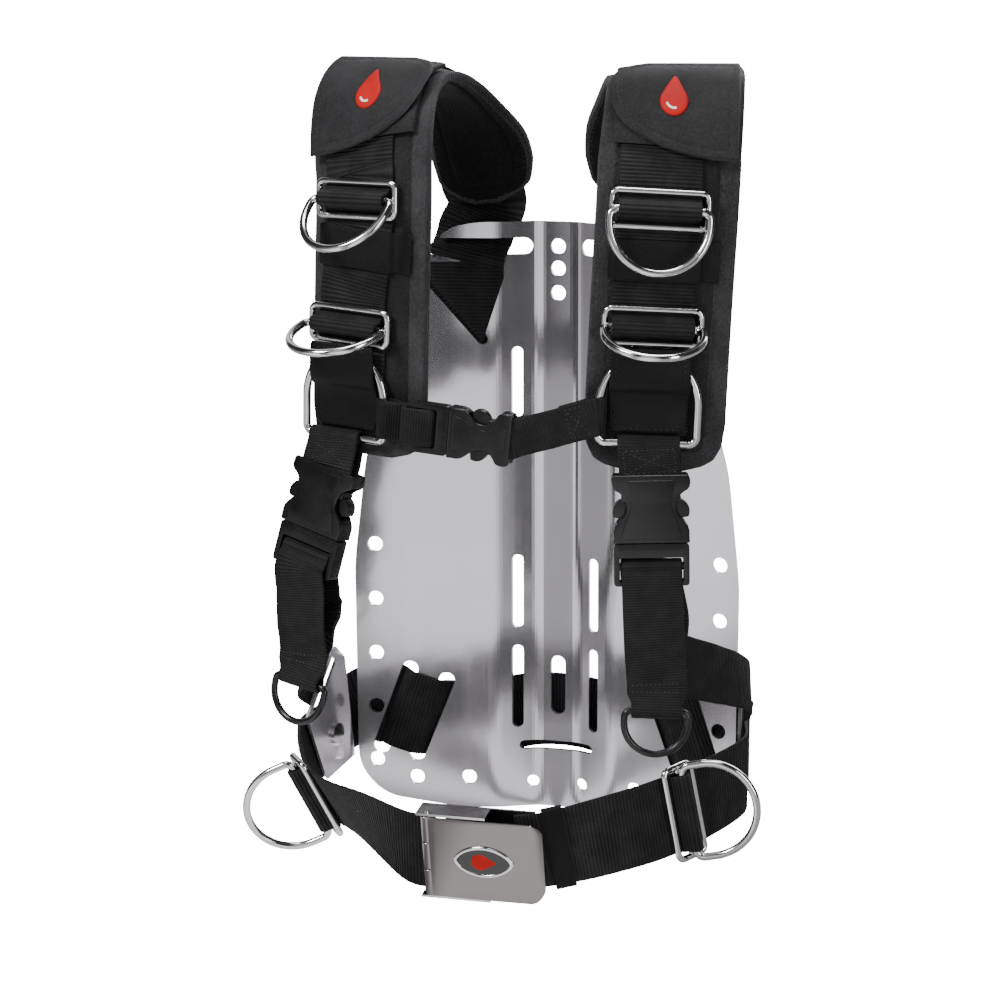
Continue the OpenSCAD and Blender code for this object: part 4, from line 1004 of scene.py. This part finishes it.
def male_body(name, f, w, l, t, flip=1):
    h = (t - 4) / 2
    hole = box_outline(-(w - 4.5), w - 4.5, -l / 2 - 1.5 - (l - 8) / 2, -l / 2 + 4.4, 1.4, flip)
    parts = [(box_outline(-(w - 1), w - 1, -l, 0, 2.4, flip), -h, h, hole, 0.9),
             (box_outline(-2.5, 2.5, -1, 11, 1.2, flip), -(t - 6) / 2, (t - 6) / 2, None, 0.8)]
    for k in range(5):
        z = k * 0.62 - 3.5
        knurl = box_outline(4 - w, w - 4, z - 0.18, z + 0.18, 0.1, flip)
        parts.append((knurl, -h - 0.25, -h + 0.3, None, 0.1))

    def bar(bm):
        add_rod(bm, (-(w - 2), 0, -flip * (l / 2 + 1.5)), (w - 2, 0, -flip * (l / 2 + 1.5)), 2.4)
    solid(name, f, parts, PLASTIC, "harness", finish=bar)


def male_prong(name, f, m, w, l, t, body, flip=1):
    half = [[w - 10, 0.3], [w - 7, 0.3], [w - 7, l * 0.37], [w - 1.2, l * 0.39], [w - 0.4, l * 0.46],
            [w - 1, l * 0.55], [w - 4, l * 0.63], [w - 8, l * 0.66], [w - 10, l * 0.62]]
    outline = rounded([[m * x, flip * z] for x, z in half], [0.2, 0.2, 0.8, 0.6, 2, 2.4, 2.5, 1.5, 1.5])
    solid(name, f, [(outline, -(t - 6) / 2, (t - 6) / 2)], PLASTIC, body, bevel=0.8)


def chest_tab(s):
    bar = moved(web_frame(s, RING_AT[s], RING_LIFT), -6 if s == LEFT else 1, 0, -CHEST_LEG)
    low = moved(lower_frame(s, FEMALE_DROP), 0, 0, 19)
    rows = arc(bar[0], -bar[2], bar[3], RING_R + 0.3 + WEB_T / 2, range(0, 181, 30), bar[1]) \
        + arc(low[0], -low[2], low[3], 2.3 + WEB_T / 2, range(180, 361, 30), low[1])
    first, last = rows[0], rows[-1]
    rows.append([last[0] + (first[0] - last[0]) * 0.75, first[1]])
    path = strap("chest_tab_" + NAMES[s], rows, TAB_W, 0.08)
    q = [place_on(path, c + bar[2] * 3.8) for c in (bar[0], low[0])]
    a, b = min(q) + 3.5, max(q) - 3.5
    runs = strip_lines(path, box_lines(a, b, 15.5), facing(path, (a + b) / 2, bar[2]))
    stitches("chest_tab_stitches_" + NAMES[s], runs, 2.2, 0.9, 0.55)


def side_buckle(s):
    n = NAMES[s]
    w, l, t = SIDE_BUCKLE
    female_shell("buckle_female_" + n, lower_frame(s, FEMALE_DROP), w, l, t)
    f = lower_frame(s, FEMALE_DROP + l / 2 + 0.5)
    male_body("buckle_male_" + n, f, w, SIDE_MALE, t)
    for side, m in (("inner", -SIGN[s]), ("outer", SIGN[s])):
        male_prong("buckle_prong_%s_%s" % (side, n), f, m, w, l, t, "prong_%s_%s" % (side, n))


def free_end(s):
    f = ladder_frame(s)
    r = 2.4 + 0.3 + WEB_T / 2
    front = 5 + WEB_T / 2 + 0.3
    rows = arc(f[0], -f[2], f[3], r, range(0, 201, 25), f[1]) \
        + [[off(f, 0, front - 0.8, -4.6), f[1]], [off(f, 0, front, -7.5), f[1]]]
    p = pull_frame(s)
    start, stop = rows[-1][0], off(p, 0, 1.5, 11)
    sag = np.array([0, -1.5, 0])
    rows += [[start + (stop - start) * k + sag * math.sin(math.pi * k), f[1]] for k in (0.3, 0.6)]
    R = 2 + 0.35 + WEB_T / 2
    rows += [[stop, p[1]], [off(p, 0, R - 0.6, 4.5), p[1]]]
    rows += arc(p[0], p[2], -p[3], R, range(0, 181, 30), p[1])
    rows += [[off(p, 0, -R + 0.6, 4.5), p[1]], [off(p, 0, -1.1, 11), p[1]], [off(p, 0, -1.35, 19), p[1]]]
    s_at = lengths([v[0] for v in rows])
    total = s_at[-1]
    widths = [STRAP_W if v < total - HEM_L else HEM_W for v in s_at]
    path = strap("free_end_" + NAMES[s], rows, STRAP_W, widths=(s_at / total, widths))
    at = place_on(path, off(p, 0, 1.5, 12))
    lines = [[(at, -16), (at, 16)], [(at - 5, -16), (at - 5, 16)]]
    runs = strip_lines(path, lines, facing(path, at, p[2]))
    stitches("free_end_stitches_" + NAMES[s], runs, 2.2, 0.5, 0.6, 0.35, zig=0.9)


def standing_strap(s):
    h = hip_frame(s)
    end = h[0] + h[1] * 6 + h[3] * 41 - h[2] * (BRACKET_GAP - 0.4)
    strap_dir = unit(h[1] * 0.62 + h[3] * 0.79)
    slot_dir = unit(h[1] * 0.79 - h[3] * 0.62)
    f = ladder_frame(s)
    top = off(f, 0, -6.9, 4)
    last = slot_dir * -SIGN[s]
    behind = along(FREE_END[s], 2) + np.array([0, 14, -2])
    route = [np.r_[top, f[1]], np.r_[off(f, 0, -7.6, -8), f[1]], np.r_[top + (behind - top) * 0.6, f[1]],
             np.r_[behind, unit(f[1] * 1.5 + last)], np.r_[end + strap_dir * 20, last], np.r_[end, last]]
    rows = [on_route(route, k)[:2] for k in np.arange(0, 5.01, 0.25)]
    path = strap("standing_strap_" + NAMES[s], rows, STRAP_W)
    e = path["s"][-1]
    runs = []
    for side in (1, -1):
        runs += strip_lines(path, box_lines(e - 27, e - 9, 15), side)
    stitches("standing_strap_stitches_" + NAMES[s], runs, 2.2, 0.9, 0.55)


# ---- waist belt ----

def waist_belt(s):
    run = [belt_frame(s, at)[:2] for at in np.arange(0, len(BELT[s]) - 0.99, 0.2)]
    thread = []
    for x, out in THREAD:
        z = SLOT_Z + (x - SLOT_X) * SLOT_SLOPE
        thread.append([np.array([SIGN[s] * x, wing_y(x, out), z]), unit([-SLOT_SLOPE * SIGN[s], 0.08, 0.94])])
    rows = run + thread if s == LEFT else thread[::-1] + run
    at = np.linspace(0, 1, len(rows))
    plate_end = at if s == LEFT else 1 - at
    widths = np.interp(plate_end, [0, 0.72, 0.78, 1], [WEB_W, WEB_W, THREADED_W, THREADED_W])
    length = lengths([v[0] for v in rows])
    webbing("waist_belt_" + NAMES[s], rows, WEB_W, RIBBED, wave=0.15, widths=(length / length[-1], widths))
    climb = [[-7.7, 0.7], [-6.6, 2.6], [-5.6, 4.9]]
    rows = over_bar(waist_ring_frame(s), WAIST_BAR_LIFT, range(190, -11, -20), climb)
    webbing("waist_ring_webbing_" + NAMES[s], rows, WEB_W - 0.6, RIBBED)
    if s == RIGHT:
        k = belt_frame(RIGHT, KEEPER_AT)
        hole = box_outline(-25.5, 25.5, -1.7, 1.7, 1.1)
        band = (box_outline(-26.9, 26.9, -3.1, 3.1, 2.2), -6.5, 6.5, hole)
        solid("belt_keeper", [k[0], k[1], k[3], k[2]], [band], RUBBER, "harness")


def belt_back():
    """The belt runs on behind the plate, from one flat slide to the other."""
    half = [(57, 2.9), (50, 4.6), (43, 7.8), (36, 13.4), (29, 18.5), (22, 19.8), (8, 19.9)]
    rows = []
    for x, y in [(-x, y) for x, y in half] + half[::-1]:
        rows.append([np.array([x, y, 66 - x * x / 250]), unit([0.4 * x / 57, 0, 1])])
    webbing("waist_belt_back", rows, WEB_W, RIBBED)


def waist_buckle():
    f = buckle_frame()
    x = np.r_[np.linspace(-29.5, -24, 8), np.linspace(-22, 34, 24),
              34 + LID_CORNER * np.sin(np.linspace(0.1, 1, 14) * math.pi / 2)]
    round_in = np.clip(LID_CORNER ** 2 - (x - 34) ** 2, 0, LID_CORNER ** 2)
    hz = np.where(x > 34, LID_HALF_H - LID_CORNER + np.sqrt(round_in), LID_HALF_H)
    hz = np.maximum(hz, LID_HALF_H - LID_CORNER + 0.4)
    v = np.sin(np.linspace(-1, 1, 33) * math.pi / 2) * 0.35 + np.linspace(-1, 1, 33) * 0.65
    sides = []
    for depth in (0.0, 1.5):
        y = -11.0 - 0.55 * (1 - ((x - 6) / 37) ** 2)
        y = y + 0.085 * np.clip(x - 36, 0, None) ** 2
        y = y + 0.02 * np.clip(-24 - x, 0, None) ** 2
        yy = y[:, None] + depth + 0.5 * np.exp(-np.clip(hz[:, None] * (1 - np.abs(v)[None, :]), 0, 9) / 0.9) \
            * (1 if depth == 0 else -0.2)
        pts = np.stack([np.repeat(x[:, None], len(v), 1), yy, hz[:, None] * v[None, :]], -1)
        sides.append(place(f, pts.reshape(-1, 3)).reshape(len(x), len(v), 3))
    slab("waist_lever", *sides, LID, body="lever", slot="plate_steel", flat_angle=38)
    c = off(f, -30, 7, 0)
    hinge = [c, f[1], f[3], f[2]]
    for k, (z0, z1) in enumerate(((-27, -9.4), (-9, 9), (9.4, 27))):
        knuckle = (circle(KNUCKLE_R, 40), -z1, -z0, circle(PIN_R, 28), 0.35)
        solid("waist_lever_knuckle_%d" % k, hinge, [knuckle], LID, "lever")
    t = np.linspace(-math.pi, math.pi, 72, endpoint=False)
    oval = np.stack([18.2 * np.cos(t), 9.6 * np.sign(np.sin(t)) * np.abs(np.sin(t)) ** 1.35], -1)

    def surface(px, pz, h):
        return off(f, 6 + px, 11.5 + h, pz)
    domed("waist_badge", oval, surface, 1.0, ENAMEL, "lever")
    verts, n = [], len(oval)
    for k, h in ((1.06, -0.3), (1.06, 0.9), (1.02, 1.25), (0.95, 1.25), (0.93, 0.7), (0.93, -0.3)):
        verts += [surface(*(p * np.array([k, 1 + (k - 1) * 1.7])), h) for p in oval]
    faces = grid_faces(6, n, True).tolist()
    faces += [[5 * n + i, 5 * n + (i + 1) % n, (i + 1) % n, i] for i in range(n)]
    add_mesh("waist_badge_rim", verts, faces, WIRE, body="lever", slot="wire_steel")
    drop = drop_outline(5.4, 10.5, 48)[:, ::-1]
    domed("waist_badge_drop", drop - np.array([2.2, 0]), lambda px, pz, h: surface(px, pz, 0.85 + h), 0.5, RED,
          "lever")


# ---- chest strap ----

def sternum_strap(s):
    f = web_frame(s, RING_AT[s], RING_LIFT)
    hold = moved(f, -SIGN[s] * 30, 0, -8)
    d = -SIGN[s] * hold[1]
    lean = 1 if hold[3][2] > 0 else -1
    up = hold[3] * lean
    end = sternum_frame(-22) if s == LEFT else sternum_frame(30)
    R = RING_R + 0.3 + WEB_T / 2
    run = unit(end[0] - hold[0])
    rows = [[hold[0] + run * 22 - hold[2] * 1.7, up * 0.5 + STERNUM_UP * 0.5],
            [hold[0] + run * 14 - hold[2] * 2.2, up], [hold[0] + run * 6 - hold[2] * 3.2, up]]
    rows += arc(hold[0], d, hold[2], R, range(-90, -271, -30), up)
    start = off(hold, -SIGN[s] * (RING_R + 1.2), 1.2, 0)
    out = 4 + WEB_T / 2 + 0.6
    stop = off(end, 0, out if s == LEFT else 0, 0 if s == LEFT else -3.6)
    mid = start + (stop - start) * 0.5 + np.array([0, -3, 0])
    rows += [[hold[0] + run * 6 + hold[2] * 3.3, up], [hold[0] + run * 12 + hold[2] * 2.8, up],
             [mid, up * 0.5 + STERNUM_UP * 0.5]]
    r = (2.4 if s == LEFT else 2.0) + 0.3 + WEB_T / 2
    m = 1 if s == LEFT else -1
    if s == LEFT:
        before = [(out, 15), (out - 0.1, 7)]
        after = [(-out - 0.1, 7), (-out - 0.1, 13), (-2.8, 24), (0.5, 32)]
        before, after = ([off(end, 0, lift, up_by) for lift, up_by in part] for part in (before, after))
    else:
        before = [end[0] - run * back + end[2] * lift for back, lift in ((12, 3), (6, r - 0.3))]
        after = [end[0] - run * back - end[2] * lift for back, lift in ((6, r - 0.4), (14, 1.2))]
    rows += [[p, STERNUM_UP] for p in before]
    rows += arc(end[0], end[2], -m * end[3], r, range(0, 181, 30), STERNUM_UP)
    rows += [[p, STERNUM_UP] for p in after]
    path = strap("sternum_strap_" + NAMES[s], rows, CHEST_STRAP_W, 0.08)
    at = place_on(path, hold[0] + d * 14 + hold[2] * 2.4)
    runs = strip_lines(path, box_lines(at - 6, at + 6, 9), facing(path, at, hold[2]))
    stitches("sternum_stitches_" + NAMES[s], runs, 2.0, 0.9, 0.5, 0.28)


def sternum_buckle():
    w, l, t = CHEST_BUCKLE
    female_shell("sternum_female", sternum_frame(12), w, l, t, -1)
    f = sternum_frame(12 - l / 2 - 0.5)
    male_body("sternum_male", f, w, CHEST_MALE, t, -1)
    for name, m in (("upper", -1), ("lower", 1)):
        male_prong("sternum_prong_" + name, f, m, w, l, t, "prong_" + name, -1)


for s in (LEFT, RIGHT):
    shoulder_pad(s)
    shoulder_webbing(s)
    wing_webbing(s)
    webbing("pad_sleeve_" + NAMES[s], band_rows(s, SLEEVE_AT), SLEEVE_W, SLEEVE, thick=1.3, amp=0, step=0.8,
            slot="pad_cloth", wave=0.2)
    base_band(s)
    flap(s)
    flap_badge(s)
    ring_shield(s)
    chest_tab(s)
    side_buckle(s)
    free_end(s)
    standing_strap(s)
    waist_belt(s)
    sternum_strap(s)
sternum_buckle()
belt_back()
waist_buckle()


# ---- stage ----

BACKDROP_GLOW = 16.0
# Directions on the ground, as x over the distance: the middle of the bright front and its narrow dark strip
FRONT_X, STRIP_X = -0.17, -0.27


def front_band(nt, xyz, level):
    """Light by direction on the ground: bright in front, dark at both sides and in one strip."""
    x, y = xyz.outputs[0], xyz.outputs[1]
    squares = math_node(nt, "ADD", math_node(nt, "MULTIPLY", x, x), math_node(nt, "MULTIPLY", y, y))
    far = math_node(nt, "SQRT", squares)
    turn = math_node(nt, "DIVIDE", x, far)
    sides = math_node(nt, "ABSOLUTE", math_node(nt, "SUBTRACT", turn, FRONT_X))
    strip = math_node(nt, "ABSOLUTE", math_node(nt, "SUBTRACT", turn, STRIP_X))
    return math_node(nt, "MULTIPLY", ramped(nt, sides, 0.5, 0.74, level, 0.04),
                     ramped(nt, strip, 0.1, 0.2, 0.06, 1.0))


def floor():
    """A pale floor that curves up into a wall well behind the object."""
    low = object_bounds()[0][2] - 0.002
    m, nt, b = begin("studio_floor", Roughness=0.8, Specular_IOR_Level=0.1)
    c = add(nt, "TexCoord").outputs["Object"]
    ray = add(nt, "LightPath").outputs["Is Camera Ray"]
    pale = math_node(nt, "MULTIPLY", ray, ramped(nt, noise_at(nt, c, 3.0), 0, 1, 0.9, 1.0))
    nt.links.new(mixed(nt, pale, (0.25, 0.25, 0.25), (0.93, 0.93, 0.93)), b.inputs["Base Color"])
    lit = front_band(nt, add(nt, "SeparateXYZ", None, i0=c), 1.0)
    glow = add(nt, "Mix", {"data_type": "FLOAT"}, i0=ray, i2=lit, i3=BACKDROP_GLOW).outputs[0]
    nt.links.new(glow, b.inputs["Emission Strength"])
    b.inputs["Emission Color"].default_value = (1, 1, 1, 1)
    curve = [(3 + 2 * math.sin(a), 2 - 2 * math.cos(a)) for a in np.linspace(0.1, 1.57, 14)]
    profile = [(-9, 0), (3, 0), *curve, (5, 7)]
    verts = [(x, y, low + z) for y, z in profile for x in (-9, 9)]
    faces = [(2 * i, 2 * i + 1, 2 * i + 3, 2 * i + 2) for i in range(len(profile) - 1)]
    mesh = bpy.data.meshes.new("studio_floor")
    mesh.from_pydata(verts, [], faces)
    mesh.polygons.foreach_set("use_smooth", np.ones(len(faces), bool))
    mesh.materials.append(m)
    in_scene("studio_floor", mesh)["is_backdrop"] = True


def sky():
    """Soft surroundings with wide darker panels for the steel to mirror."""
    world = bpy.data.worlds.new("studio")
    world.use_nodes = True
    nt = world.node_tree
    back = nt.nodes["Background"]
    c = add(nt, "TexCoord").outputs["Generated"]
    xyz = add(nt, "SeparateXYZ", None, i0=c)
    panels = math_node(nt, "SINE", math_node(nt, "MULTIPLY", xyz.outputs[0], 11.0))
    tone = math_node(nt, "MULTIPLY", front_band(nt, xyz, 0.65), ramped(nt, panels, -0.6, 0.6, 0.6, 1.0))
    ray = add(nt, "LightPath").outputs["Is Camera Ray"]
    strength = add(nt, "Mix", {"data_type": "FLOAT"}, i0=ray, i2=tone, i3=BACKDROP_GLOW).outputs[0]
    nt.links.new(strength, back.inputs["Strength"])
    back.inputs["Color"].default_value = (0.97, 0.96, 1, 1)
    scene.world = world


def light(name, place_at, aim, size, power):
    data = bpy.data.lights.new(name, "AREA")
    data.shape = "RECTANGLE"
    data.size, data.size_y = size
    data.energy = power
    obj = in_scene(name, data)
    obj.location = place_at
    obj.rotation_euler = (Vector(aim) - Vector(place_at)).to_track_quat("-Z", "Y").to_euler()


def camera():
    az, el, far = math.radians(16), math.radians(12), 2.2
    target = Vector((0, -0.0165, -0.1595))
    back = Vector((math.sin(az) * math.cos(el), -math.cos(az) * math.cos(el), math.sin(el)))
    data = bpy.data.cameras.new("camera")
    data.lens, data.sensor_width = 120.9, 36
    data.shift_x, data.shift_y = -0.0525, 0.013
    obj = in_scene("camera", data)
    obj.location = target + back * far
    obj.rotation_euler = (-back).to_track_quat("-Z", "Y").to_euler()
    scene.camera = obj


floor()
sky()
light("key", (-1.2, -1.7, 1.6), (0, 0, -0.12), (0.8, 0.7), 52)
light("fill", (1.9, -1.2, 0.4), (0, 0, -0.15), (0.5, 1.5), 20)
light("top", (0.1, -0.1, 1.9), (0, 0, 0), (1.2, 0.9), 30)
light("rim", (0.4, 1.8, 0.9), (0, 0, -0.1), (1.4, 0.9), 18)
camera()
